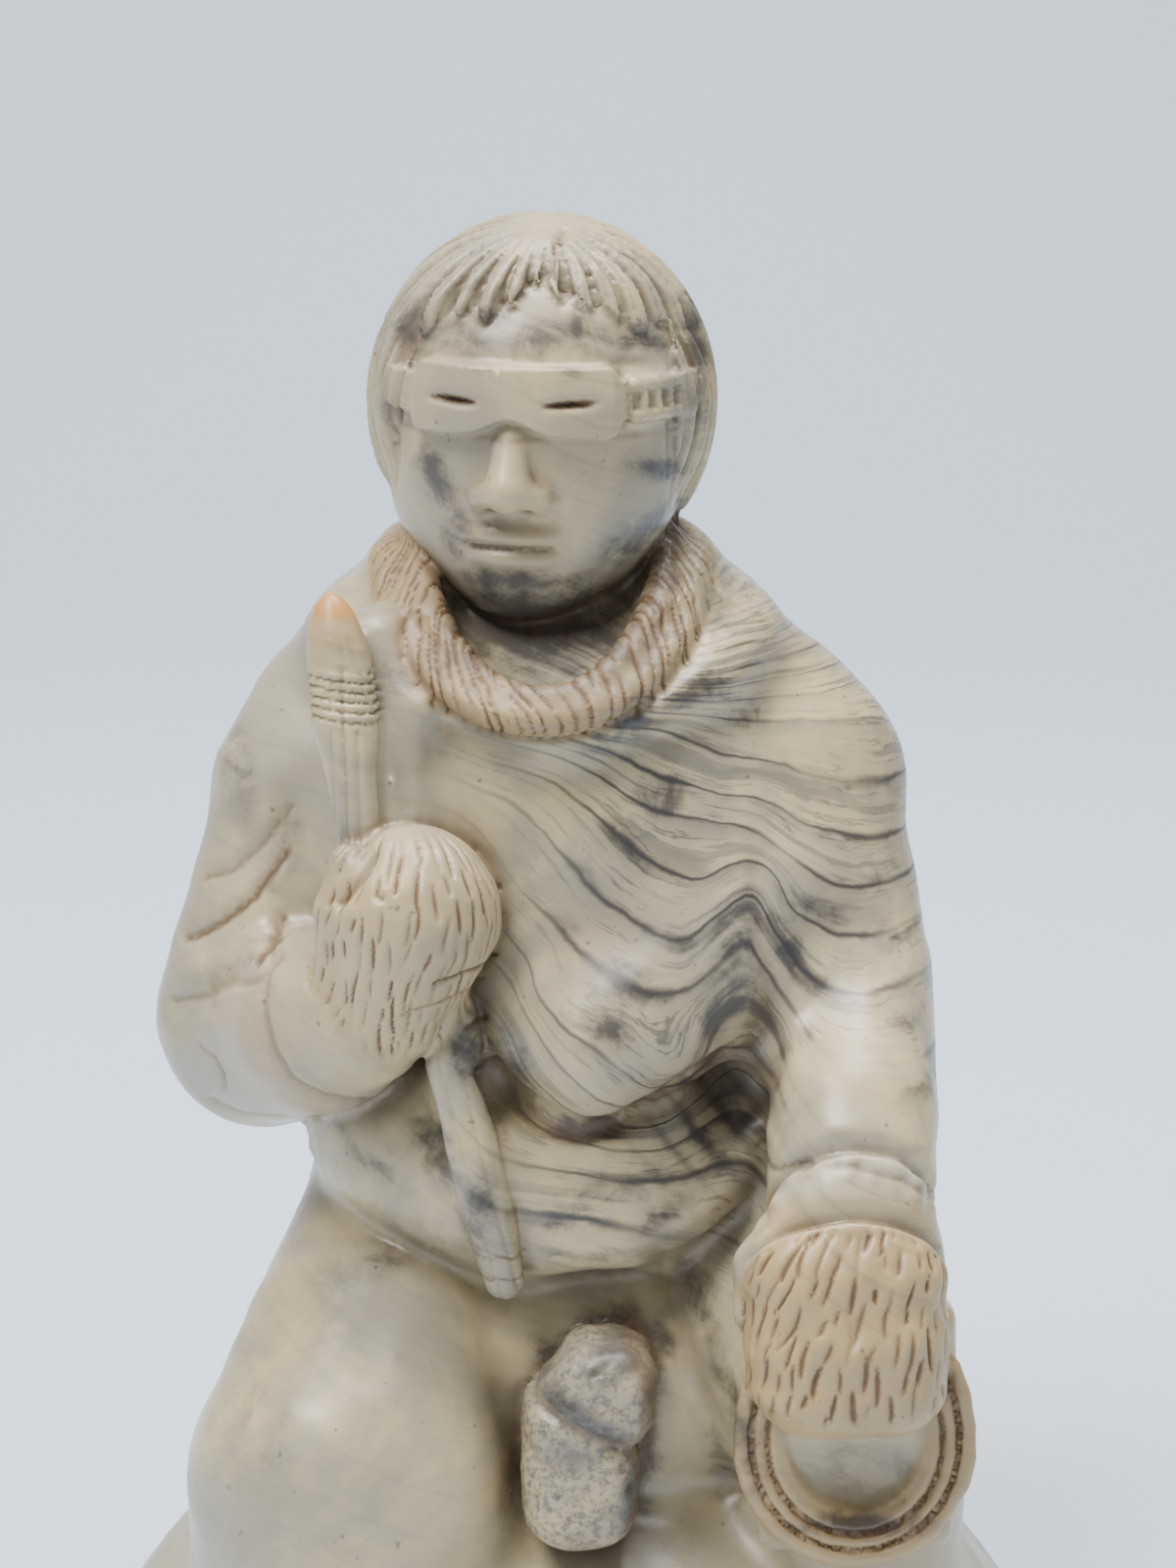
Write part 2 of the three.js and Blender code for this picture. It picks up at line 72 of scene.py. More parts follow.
def ball(centre, radii, turn=(0, 0, 0)):
    m = np.array(Euler([math.radians(a) for a in turn], "XYZ").to_matrix())
    size = np.array(radii, float)

    def form(x, y, z):
        d = np.stack([x - centre[0], y - centre[1], z - centre[2]])
        u = (m.T @ d) / size[:, None]
        scaled = np.sqrt((u * u).sum(0))
        slope = np.sqrt(((u / size[:, None]) ** 2).sum(0))
        return np.where(slope < TINY, -size.min(), scaled * (scaled - 1) / np.maximum(slope, TINY))

    return form


def limb(*joints):
    """A limb runs through its joints, each (x, y, z, radius)."""

    def form(x, y, z):
        least = np.full(x.shape, FAR)
        for (ax, ay, az, ar), (bx, by, bz, br) in zip(joints, joints[1:]):
            ex, ey, ez = bx - ax, by - ay, bz - az
            dx, dy, dz = x - ax, y - ay, z - az
            t = clamp((dx * ex + dy * ey + dz * ez) / (ex * ex + ey * ey + ez * ez), 0, 1)
            d = np.sqrt((dx - t * ex) ** 2 + (dy - t * ey) ** 2 + (dz - t * ez) ** 2) - ar - t * (br - ar)
            least = np.minimum(least, d)
        return least

    return form


def loaf(centre, half, edge):
    """A box with rounded edges."""

    def form(x, y, z):
        u = np.abs(x - centre[0]) - half[0] + edge
        v = np.abs(y - centre[1]) - half[1] + edge
        w = np.abs(z - centre[2]) - half[2] + edge
        out = np.sqrt(np.maximum(u, 0) ** 2 + np.maximum(v, 0) ** 2 + np.maximum(w, 0) ** 2)
        return out + np.minimum(np.maximum(np.maximum(u, v), w), 0) - edge

    return form


def melt_two(a, b, soft):
    h = np.maximum(soft - np.abs(a - b), 0) / soft
    return np.minimum(a, b) - h * h * soft / 4


def melt(soft, *forms):
    def form(x, y, z):
        d = forms[0](x, y, z)
        for other in forms[1:]:
            d = melt_two(d, other(x, y, z), soft)
        return d

    return form


def carve(soft, body, tool):
    def form(x, y, z):
        return -melt_two(-body(x, y, z), tool(x, y, z), soft)

    return form


def crease(body, sheet, depth, width, middle=(0, 0, 0), reach=FAR):
    """A crease runs where the sheet is zero, and fades out away from its middle."""

    def form(x, y, z):
        d = body(x, y, z)
        far = np.sqrt((x - middle[0]) ** 2 + (y - middle[1]) ** 2 + (z - middle[2]) ** 2)
        cut = depth * clamp(2 - 2 * far / reach, 0, 1) * bump(sheet(x, y, z), width)
        return np.where(np.abs(d) > CREASE_REACH, d, d + cut)

    return form


def around(centre, reach, body):
    """Far from a small form, the distance to the ball around it is near enough."""

    def form(x, y, z):
        d = np.sqrt((x - centre[0]) ** 2 + (y - centre[1]) ** 2 + (z - centre[2]) ** 2) - reach
        close = d <= SLACK
        if close.any():
            d[close] = body(x[close], y[close], z[close])
        return d

    return form


def half_rings(middle, start, end, joint, steps=12):
    """Both halves of a ring: joint(a) gives (across, y, z, radius), a = 0 in front and pi behind."""
    joints = [joint(start + (end - start) * i / steps) for i in range(steps + 1)]
    left = limb(*[(middle + across, y, z, r) for across, y, z, r in joints])
    right = limb(*[(middle - across, y, z, r) for across, y, z, r in joints])
    return lambda x, y, z: np.minimum(left(x, y, z), right(x, y, z))


def neck_ring(half_width, half_depth, low, rise, radius, start, end):
    """A ring round the neck opening, rising from its front to its sides."""

    def joint(a):
        lift = rise * (1 - math.cos(min(a, math.pi / 2)))
        return half_width * math.sin(a), -6 - half_depth * math.cos(a), low + lift, radius(a)

    return half_rings(NECK_X, start, end, joint)


def swell(start):
    return lambda a: 1 + 8 * math.sin(min(a - start, math.pi / 2))


# ---- head, modelled about its own middle ----
HEAD_AXES = np.array(
    Euler([math.radians(a) for a in (HEAD_NOD, HEAD_ROLL, HEAD_TURN)], "XYZ").to_matrix()
)


def to_head(x, y, z):
    d = np.stack([x - HEAD_CENTRE[0], y - HEAD_CENTRE[1], z - HEAD_CENTRE[2]])
    return HEAD_AXES.T @ d


def on_head(form):
    return lambda x, y, z: form(*to_head(x, y, z))


SKULL_MIDDLE = (0, 2, 3)
HAIR_THICK = 2.4
CROWN = (1.5, -6)

skull = ball(SKULL_MIDDLE, SKULL)
face = melt(5, skull, ball((0, -5, -10), (21.5, 19.5, 18.5)), ball((0, -15, -19), (10, 8.5, 9)))
nose = melt(
    2.5,
    limb((0, -24, 3, 2.4), (0, -28.4, -6, 3.4)),
    ball((-3.9, -25, -7.4), (2.8, 3.4, 2.5)),
    ball((3.9, -25, -7.4), (2.8, 3.4, 2.5)),
)
lips = melt(1.2, ball((0, -22.8, -13.6), (7.5, 3.2, 2)), ball((0, -22.2, -17), (6.4, 3.4, 2.1)))
hair_shell = ball(SKULL_MIDDLE, [r + HAIR_THICK for r in SKULL])
goggles_shell = ball(SKULL_MIDDLE, (26.5, 29, 28.8))


def lock_turn(x, y, z):
    """Passes a multiple of pi at each groove between two locks."""
    a = np.arctan2(x - CROWN[0], CROWN[1] - y)
    uneven = 0.6 * np.sin(3 * a + 1) + 0.35 * np.sin(7 * a)
    return a * LOCKS / 2 + uneven + 0.05 * np.hypot(x - CROWN[0], y - CROWN[1])


def hair(x, y, z):
    away = np.hypot(x - CROWN[0], y - CROWN[1])
    turn = lock_turn(x, y, z)
    groove = bump(np.sin(turn), 0.42) * clamp((away - 3) / 8, 0, 1)
    groove = groove * (0.45 + 0.85 * clamp((4 - y) / 10, 0, 1))
    uneven = 0.9 * np.sin(0.73 * turn + 1) + 0.5 * np.sin(1.9 * turn)
    fringe = 21.6 + uneven - 1.7 * np.abs(np.sin(turn)) - 0.012 * (x - 3) ** 2 + 3.4 * bump(x - 3.8, 4)
    edge = np.where(x < 0, 20.1 - 0.27 * np.maximum(z, 0), 22.8 - 0.05 * np.maximum(z, 0))
    opening = np.maximum(np.maximum(np.abs(x) - edge, z - fringe), y + 3)
    feather = 1.4 * (1 - clamp(opening / 5, 0, 1))
    return np.maximum(np.maximum(hair_shell(x, y, z) + groove + feather, -opening), -16 - z)


GOGGLE_LINE = 7.2  # height of the slits
MASK_HALF = 5.2
STRAP_HALF = 3
MASK_END = 0.66  # angle from the nose at which the mask narrows to the strap


def goggles(x, y, z):
    side = np.abs(np.arctan2(x, -y))
    mask = clamp((MASK_END - side) / 0.07, 0, 1)
    half = STRAP_HALF + (MASK_HALF - STRAP_HALF) * mask
    notch = 2.6 * bump(x, 4.5)
    band = np.maximum(z - GOGGLE_LINE - half, GOGGLE_LINE - half + notch - z)
    return np.maximum(np.maximum(goggles_shell(x, y, z) - 0.9 * mask - 0.3, band), y - 14)


HEAD_REACH = 36  # no point of the head is farther from its middle


def about_head(form, middle=(0, 0, 0)):
    return on_head(around(middle, HEAD_REACH, form))


bare_face = melt(1.5, face, nose, lips)
head = about_head(melt(0.8, bare_face, hair, goggles))

# ---- parka: shoulders, body, hood and ruff ----
neck = limb((-4, 0, 190, 15), (-4, 4, 165, 17))
yoke = limb(
    (-38.5, 4, 149.5, 16.5), (-36, 6, 159.5, 14.5), (-22, 8, 167, 12), (-4, 10, 176, 13),
    (15, 8, 168, 12.5), (30.5, 4.5, 160, 14.5), (35.5, 3, 151, 16),
)
chest = ball((-1, 0, 143), (43, 35, 38))
back = limb((-3, 14, 165, 19), (-2, 15, 140, 22), (-2, 13, 92, 24))
paunch = limb(
    (-9, -25, 124, 10), (-3, -29.5, 117.5, 12), (4, -31, 115, 13), (12, -30, 118, 13),
    (21, -26, 126, 12.5), (30, -19, 133, 11),
)
skirt = melt(8, ball((-2, -4, 94), (39.5, 36, 25)), ball((-2, 9, 80), (37.5, 30, 34)))
hollow = ball((7, -44, 62), (19, 30, 17))
hem = limb(
    (-38, -5, 95, 3), (-36.5, -11, 93.5, 3.2), (-28, -23, 90, 3.4), (-18, -31, 86, 3.6), (-3, -34.5, 83, 4),
    (9, -34.5, 83.3, 4), (17, -33, 87, 3.8), (24, -30, 92, 3.6), (30, -26, 99, 3),
)
back_hem = half_rings(-2, 1.9, math.pi, lambda a: (34 * math.sin(a), 6 - 29 * math.cos(a), 66, 3.6))
hood_rim = neck_ring(21.5, 33, 176, 7.5, swell(1.05), 1.05, math.pi)
hood_cape = neck_ring(29.5, 31, 164.5, 9.5, swell(0.65), 0.65, math.pi)
ruff_seat = neck_ring(20.5, 25.5, 163.5, 20.5, lambda a: 4, 0, 2)
RUFF_INNER = 2.8
RUFF_OUTER = 3
ruff_inner = neck_ring(19.4, 29.8, 167.8, 22, lambda a: RUFF_INNER, 0, 2)
ruff_outer = neck_ring(23.2, 31.5, 165.4, 20.5, lambda a: RUFF_OUTER, 0, 1.9)
ruff = melt(3, ruff_inner, ruff_outer)

# ---- arms and mittens ----
upper_arm_right = limb((-38, 2, 146.5, 17.8), (-48, -5, 114, 17.6))
sleeve_right = melt(
    4,
    limb((-48, -8, 112, 16.6), (-38, -27, 117, 14)),
    limb((-38, -27, 118, 14), (-32, -35, 120, 11.5)),
)


def sleeve_fold(x, y, z):
    return z - 124.5 - 0.55 * (x + 50) + 0.1 * (y + 20)


fore_arm_right = crease(sleeve_right, sleeve_fold, 1.1, 1.8, (-52, -22, 122), 26)
upper_arm_left = limb((33.5, 2, 148, 19.3), (43.8, -10, 121, 13.6), (43.2, -36, 104, 12.9))

palm_right = limb((-23.5, -40, 136, 13.8), (-27, -37.5, 123.5, 10.6))
thumb_right = limb((-33, -39.5, 126, 5.4), (-34, -42, 137, 5.4), (-32.8, -42.5, 144.5, 3.4))
mitten_right = around((-26, -40, 131), 24, melt(1.6, palm_right, thumb_right))

fist_left = loaf((41.5, -49.5, 78), (15.2, 12.5, 15), 9.5)
palm_left = melt(5, fist_left, loaf((42, -52, 70), (13.8, 11, 10), 8.5))
cuff_left = limb((43.2, -36, 104, 12.9), (42.9, -41, 99, 12.6), (42.4, -45, 91, 13))
thumb_left = limb((28.6, -48, 84, 3.8), (28, -50, 77, 3.4))


def along_sleeve(x, y, z):
    """Distance up the left forearm from the edge of its mitten."""
    return 0.84 * (y + 46) + 0.54 * (z - 102.8)


cuff_end = crease(melt(3, cuff_left, palm_left), lambda x, y, z: along_sleeve(x, y, z) + 4.6, 1.7, 1)
cuff_end = crease(cuff_end, lambda x, y, z: along_sleeve(x, y, z) + 13.5, 1.5, 1)
hand_left = around((42, -46, 84), 36, melt(2, cuff_end, thumb_left))

# ---- harpoon, legs and boulder ----
harpoon_head = ball((-33.8, -33.5, 169), (5, 4.2, 15), (-8, -7, 0))
shaft_top = limb((-33.4, -35, 164, 4), (-31, -39, 146, 3.2))
shaft_low = limb((-18.6, -37, 121, 4.6), (-12.2, -39.5, 90, 4.2), (-9.8, -38.5, 79, 3))
harpoon = melt(2, harpoon_head, shaft_top, shaft_low)
drape = limb((-30.5, -22, 174, 5.5), (-28.5, -27.5, 160, 6.5), (-28, -30.5, 146, 7))

leg_right = limb((-26.5, 2, 78.5, 16.5), (-30.5, -20, 61, 21.5), (-34, -33, 45.5, 25.3), (-37, -20, 18, 23))
leg_left = limb((30, -6, 84, 18), (37, -24, 64, 19), (45, -24, 44, 17.5), (43, -20, 22, 19.5))
lap = ball((6, -12, 56), (30, 22, 28))
boulder = melt(3, loaf((1.9, -40.5, 52), (9.2, 10.5, 14), 7.5), loaf((5.8, -40.5, 63), (7.8, 10.5, 8), 6))

# ---- rope coil held in the mitten ----
STRAND = 1.35


def rope_turn(turn, steps=28):
    inset = turn * 1.75 * STRAND
    joints = []
    for i in range(steps + 1):
        a = i / steps * 2 * math.pi
        x = 43.2 + (17 - inset) * math.sin(a) * (1 + 0.1 * math.cos(a))
        y = -49.5 - 1.5 * math.cos(a) + 0.2 * inset
        joints.append((x, y, 59.5 - (20.3 - inset) * math.cos(a), STRAND))
    return limb(*joints)


ROPE_TURNS = [rope_turn(turn) for turn in range(3)]
coil = around((43.2, -50, 61.5), 24, melt(0.4, *ROPE_TURNS))
coil_back = melt(3, ball((43.2, -37, 62), (16.5, 10, 21)), loaf((43, -45, 58.8), (15.6, 5.2, 19.8), 4))

# ---- mound, with the boots lying on it behind ----
boots = melt(
    3,
    limb((-30, 0, 30, 14), (-24, 34, 32, 13.5), (-23, 50, 24, 11.5)),
    limb((36, 0, 30, 14), (25, 34, 32, 13.5), (23, 50, 24, 11.5)),
)
mound = melt(
    10,
    ball((0, 0, 0), (BASE_HALF_WIDTH - 4, BASE_HALF_DEPTH - 4, 46)),
    ball((0, 0, -2), (BASE_HALF_WIDTH, BASE_HALF_DEPTH, 14)),
)

# ---- the whole ----
trunk = melt(5, melt(9, chest, back), upper_arm_right, upper_arm_left)
upper = melt(7, trunk, neck, yoke, hood_rim, hood_cape, ruff_seat)
torso = melt(12, melt(6, upper, drape), paunch)
clothes = melt(1.6, torso, melt(4, skirt, hem, back_hem))
webs = melt(
    1,
    limb((33, -9, 124, 9), (31, -14, 106, 11), (37, -28, 80, 8.5)),
    limb((-20, -29, 126, 5), (-15.5, -30, 106, 5)),
)
dressed = melt(3, carve(4, clothes, hollow), webs)
seated = melt(3, dressed, melt(6, leg_right, leg_left, lap, mound, coil_back, boots))
armed = melt(2.5, seated, fore_arm_right)
hunter = melt(1, armed, ruff, mitten_right, hand_left, harpoon, boulder, coil, head)


def slopes(form, p, step=0.04):
    """The form's distance at the points, and the direction in which it grows."""
    d = form(*p.T)
    g = np.stack([form(*(p + step * axis).T) - d for axis in np.eye(3)], 1) / step
    return d, g


# ---- the piece: the block's copy, its faces split where the carving is fine ----
PLAIN = 2.2  # edge length on plain stone
HIDDEN = 9  # edge length on the underside
BROW = (0, -4, 0)  # the fine parts of the head lie round this point
FINE = [  # edge length on each finer form
    (mitten_right, 0.5), (palm_left, 0.5), (coil, 0.52), (ruff, 0.55), (harpoon, 0.65), (cuff_left, 1.0),
    (boulder, 0.95), (hem, 1.4), (sleeve_right, 1.7), (about_head(hair, BROW), 0.76),
    (about_head(goggles, BROW), 0.6), (about_head(face, BROW), 0.95), (about_head(lips, BROW), 0.7),
]
FINE_REACH = 0.7  # fine faces go this far outside their form
LINE_EDGE = 0.75  # edge length on the thinnest tool line
GROWTH = 0.3  # how fast faces may widen away from a fine form
FRONT = -4  # the tool lines are cut where y is less than this
SOLE = 0.01  # points lower than this lie on the underside
LONGEST = 1.35  # an edge this many times its goal is split
STRIDE = 1.2  # the most distance that a point makes up in one round
GENTLEST = 0.2  # least square of a slope that a move is divided by
FOLD = math.radians(35)  # faces that bend less than this may swap their shared edge


def edge_goal(p):
    goal = np.full(len(p), PLAIN)
    for form, size in FINE:
        goal = np.minimum(goal, size + GROWTH * np.maximum(form(*p.T) - FINE_REACH, 0))
    for _, width, _, points in LINES:
        away = route(p[:, 0], p[:, 2], points) + np.where(p[:, 1] < FRONT, 0, FAR)
        goal = np.minimum(goal, LINE_EDGE + 0.3 * width + GROWTH * np.maximum(away - width, 0))
    behind = clamp((p[:, 1] + 2) / 20, 0, 1)  # the hidden sides are plainer
    return np.where(p[:, 2] < SOLE, HIDDEN, goal * (1 + 0.4 * behind))


def read_points(piece):
    p = np.empty(len(piece.data.vertices) * 3)
    piece.data.vertices.foreach_get("co", p)
    return p.reshape(-1, 3) / MM


def write_points(piece, p):
    piece.data.vertices.foreach_set("co", (p * MM).ravel())
    piece.data.update()


def read_edges(piece):
    e = np.empty(len(piece.data.edges) * 2, dtype=np.int32)
    piece.data.edges.foreach_get("vertices", e)
    return e.reshape(-1, 2)


def unit_rows(g):
    return g / np.maximum(np.linalg.norm(g, axis=1), 1e-6)[:, None]


def settle(piece, rounds, ease):
    """Evens out the points along the surface, and puts them back on the carved form."""
    p = read_points(piece)
    e = read_edges(piece)
    count = np.bincount(e.ravel(), minlength=len(p))[:, None]
    foot = p[:, 2] < SOLE
    for n in range(rounds):
        total = np.zeros_like(p)
        np.add.at(total, e[:, 0], p[e[:, 1]])
        np.add.at(total, e[:, 1], p[e[:, 0]])
        shift = total / count - p
        shift[foot] = 0
        if n:  # from the second round on, points ease only along the surface
            unit = unit_rows(g)
            shift -= unit * (shift * unit).sum(1)[:, None]
        p = p + ease * shift
        d, g = slopes(hunter, p)
        square = np.maximum((g * g).sum(1), GENTLEST)
        move = -g * (clamp(d, -STRIDE, STRIDE) / square)[:, None]
        move[foot] = 0
        p = p + move
        p[~foot, 2] = np.maximum(p[~foot, 2], 2 * SOLE)
    write_points(piece, p)
    return p


def split_long_edges(piece, passes):
    bpy.context.view_layer.objects.active = piece
    for _ in range(passes):
        p = read_points(piece)
        e = read_edges(piece)
        length = np.linalg.norm(p[e[:, 0]] - p[e[:, 1]], axis=1)
        long = length > LONGEST * edge_goal((p[e[:, 0]] + p[e[:, 1]]) / 2)
        if not long.any():
            break
        for part in (piece.data.vertices, piece.data.polygons):
            part.foreach_set("select", np.zeros(len(part), bool))
        piece.data.edges.foreach_set("select", long)
        bpy.ops.object.mode_set(mode="EDIT")
        bpy.ops.mesh.select_mode(type="EDGE")
        bpy.ops.mesh.subdivide(number_cuts=1)
        bpy.ops.mesh.select_all(action="SELECT")
        bpy.ops.mesh.quads_convert_to_tris(quad_method="SHORTEST_DIAGONAL", ngon_method="BEAUTY")
        bpy.ops.mesh.beautify_fill(angle_limit=FOLD)
        bpy.ops.object.mode_set(mode="OBJECT")
        settle(piece, 2, 0.3)


def copy_block():
    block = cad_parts["hunter"]
    piece = bpy.data.objects.new("carved_hunter", block.data.copy())
    piece.data.transform(block.matrix_world)
    bpy.context.scene.collection.objects.link(piece)
    bpy.ops.object.select_all(action="DESELECT")
    piece.select_set(True)
    bpy.context.view_layer.objects.active = piece
    bpy.ops.object.mode_set(mode="EDIT")
    bpy.ops.mesh.select_all(action="SELECT")
    bpy.ops.mesh.remove_doubles(threshold=1e-6)
    bpy.ops.object.mode_set(mode="OBJECT")
    return piece


# ---- fine carving: how far each cut goes into the surface, and how much dirt and painted shade lies in it ----
def scatter(i, j, seed):
    """A settled value from 0 to 1 for each cell of a net."""
    s = np.sin(i * 12.9898 + j * 78.233 + seed * 37.719) * 43758.5453
    return s - np.floor(s)


def ripple(x, y, z, size, seed):
    """Smooth unevenness from -1 to 1, about size apart."""
    total = np.zeros_like(x)
    for n in range(4):
        a, b, c, phase = [2 * math.pi * float(scatter(n, k, seed)) for k in range(4)]
        direction = np.array([math.sin(a) * math.cos(b), math.sin(a) * math.sin(b), math.cos(a)])
        total += np.sin((direction[0] * x + direction[1] * y + direction[2] * z) * 5.5 / size + phase + c)
    return total / 4


def cuts(u, v, pitch, row, length, width, lean, seed):
    """Staggered rows of short tool cuts over (u, v), none quite like the next: 1 in a cut, 0 outside."""
    deepest = np.zeros_like(u)
    across = np.floor(u / pitch)
    down = np.floor(v / row)
    for dj in (-1, 0, 1):
        j = down + dj
        for di in (-1, 0, 1):
            i = across + di
            shift = 0.5 * (j % 2) + 0.55 * (scatter(i, j, seed) - 0.5)
            du = u - (i + 0.5 + shift) * pitch
            dv = v - (j + 0.5 + 0.6 * (scatter(i, j, seed + 1) - 0.5)) * row
            long = length * (0.45 + 1.1 * scatter(i, j, seed + 2))
            tilt = lean + 0.24 * (scatter(i, j, seed + 3) - 0.5)
            bow = 0.35 * (scatter(i, j, seed + 4) - 0.5) * dv * dv / row
            ends = np.sqrt(clamp(1 - (2 * dv / long) ** 2, 0, 1))
            deep = 0.55 + 0.45 * scatter(i, j, seed + 5)
            thin = width * (0.5 + 0.5 * ends) * (0.8 + 0.4 * scatter(i, j, seed + 6))
            deepest = np.maximum(deepest, deep * np.sqrt(ends) * bump(du - tilt * dv + bow, thin))
    return deepest


def near(form, p, reach=0.8):
    """1 on the surface of that form, fading to 0 away from it."""
    return clamp(2 - np.abs(form(*p.T)) / reach, 0, 1)


def route(x, z, points):
    """Distance, seen from the front, to the route through the (x, z) points."""
    least = np.full(x.shape, FAR)
    for (ax, az), (bx, bz) in zip(points, points[1:]):
        ex, ez = bx - ax, bz - az
        t = clamp(((x - ax) * ex + (z - az) * ez) / (ex * ex + ez * ez), 0, 1)
        least = np.minimum(least, np.hypot(x - ax - t * ex, z - az - t * ez))
    return least


class Relief:
    """What the chisel adds: sink is in millimetres along the inward normal. For the others 1 is full;
    the mark is dirt and painted shade, and a mark above 1 holds soot, as warmth above 1 is orange."""

    def __init__(self, p):
        self.p = p
        self.sink = np.zeros(len(p))
        self.mark = np.zeros(len(p))
        self.worn = np.zeros(len(p))
        self.warm = np.zeros(len(p))
        self.speckled = np.zeros(len(p))

    def stain_and_shade(self, amount):
        self.mark = np.maximum(self.mark, amount)

    def heat(self, amount):
        self.warm = np.maximum(self.warm, amount)

    # the darkening laid in a cut is dirt in most tool cuts, and painted shade in some folds and creases
    def cut(self, amount, depth, dirt_and_shade):
        self.sink += depth * amount
        self.stain_and_shade(dirt_and_shade * clamp(amount * 1.5 - 0.3, 0, 1))


def carve_mittens(r):
    x, y, z = r.p.T
    on_right = near(mitten_right, r.p) * clamp((150 - z) / 2, 0, 1)
    u = 13.5 * np.arctan2(x + 25.5, -(y + 34))
    edge = clamp((z - 113 - 0.25 * np.abs(x + 27)) / 3, 0, 1) * clamp((24 - np.abs(u)) / 3, 0, 1)
    fur = cuts(u, z, 2.1, 4.8, 5.2, 0.3, 0.12 - 0.012 * u, 3) * on_right * edge
    r.cut(fur, 0.65, 1)
    r.sink += 0.25 * on_right * (1 + ripple(u, 0 * y, z, 5, 13))
    r.heat(0.55 * on_right)
    on_left = near(palm_left, r.p) * clamp((-along_sleeve(x, y, z) - 14.4) / 1.2, 0, 1)
    u = 15 * np.arctan2(x - 41.5, -(y + 36))
    lean = 0.03 + 0.14 * clamp((z - 72) / 16, 0, 1) - 0.011 * (u - 3)
    fur = cuts(u, z, 1.75, 4.3, 4.8, 0.29, lean, 11) * on_left * clamp((z - 62.5) / 2.5, 0, 1)
    r.cut(fur, 0.65, 1)
    r.sink += 0.45 * on_left * (1 + ripple(x, 0 * y, 0.6 * z, 4.2, 12)) * clamp((z - 66) / 3, 0, 1)
    r.heat(on_left)
    # painted shade: the whole left mitten is darkened a little
    r.stain_and_shade(0.2 * on_left)
    r.heat(0.8 * near(cuff_left, r.p) * clamp((98 - z) / 4, 0, 1))


def carve_coil(r):
    x, y, z = r.p.T
    on_coil = near(coil, r.p)
    r.heat(0.9 * on_coil)
    close = np.sort(np.stack([turn(x, y, z) for turn in ROPE_TURNS]), 0)
    r.cut(on_coil * bump(close[1] - close[0], 0.5), 0.75, 0.9)
    r.stain_and_shade(0.24 * on_coil)
    inside = bump(np.hypot((x - 42.5) / 12, (z - 52) / 9), 0.8) * near(coil_back, r.p) * (y < -44)
    r.sink += 3.6 * inside * (1 - on_coil)
    r.heat(1.05 * inside * bump(z - 41, 2.6))


def carve_ruff(r):
    x, y, z = r.p.T
    on = near(ruff, r.p)
    a = np.arctan2(x - NECK_X, -6 - y)
    across = ruff_inner(x, y, z) + RUFF_INNER - ruff_outer(x, y, z) - RUFF_OUTER
    lean = -0.85 + 1.3 * clamp((a + 0.1) / 0.9, 0, 1)
    u = 27 * a + lean * across + 0.05 * across * across * clamp(a, 0, 1)
    hairs = cuts(u, across + 4.2, 2.5, 8.4, 10, 0.34, 0.0, 21) * on
    r.cut(hairs, 0.75, 1)
    r.stain_and_shade(clamp(1.7 * hairs - 0.15, 0, 1))
    # a brown tint over the whole ruff, which is also painted shade under the chin
    r.stain_and_shade(0.34 * on)
    r.sink += 0.9 * on * bump(across, 3)  # the crest is flattened into a band
    r.heat(0.85 * on * clamp(1 - 0.5 * a, 0.2, 1))
    rim = near(hood_rim, r.p, 1.5) * clamp(0.4 - (y + 10) / 14, 0, 1) * clamp((np.abs(x + 4) - 17) / 3, 0, 1)
    strands = cuts(y * 1.3 + 0.4 * z, z, 2.6, 9, 9, 0.4, 0.1, 27) * rim * (1 - on)
    r.cut(strands, 0.5, 0.8)


def carve_hair(r):
    x, y, z = to_head(*r.p.T)
    on = near(about_head(hair), r.p, 0.7)
    turn = lock_turn(x, y, z)
    groove = bump(np.sin(turn), 0.3) * clamp((np.hypot(x - CROWN[0], y - CROWN[1]) - 1) / 5, 0, 1)
    r.cut(groove * on, 0.5, 0.5)
    parting = bump(route(x, z, [(4.4, 31), (3.8, 25.6), (0.8, 22.4), (-2.4, 20.4)]), 0.6)
    parting = np.maximum(parting, bump(route(x, z, [(3.8, 25.6), (6.2, 23), (9.4, 21)]), 0.6)) * (y < -6)
    r.cut(parting * on, 0.8, 0.65)
    beside = np.where(x < 0, -18.2 - x, x - 21.5) + 0.25 * np.maximum(z, 0) * (x < 0)
    sides = clamp(beside / 1.5, 0, 1) * on * (z < 16) * (y < 6)
    r.cut(cuts(1.2 * y + 0.12 * z, z, 2.3, 9, 13, 0.42, 0.12, 41) * sides, 0.55, 0.55)
    wave = 0.5 * ripple(x, y, z, 14, 5)
    strands = bump(np.sin(2 * turn + 0.9 + wave), 0.3) + 0.7 * bump(np.sin(3 * turn + 2.1 - wave), 0.25)
    r.cut(clamp(strands, 0, 1) * on * clamp((np.hypot(x, y + 6) - 3) / 6, 0, 1) * (1 - groove), 0.42, 0.42)


SLIT_APART = 9  # from the nose to the middle of each slit
SLIT_HALF = 4.2
PANEL_FROM = 0.7  # angles round the head, from the nose to the ear
PANEL_TO = 1.12
CELLS = 4
CELL_HALF = 1.7


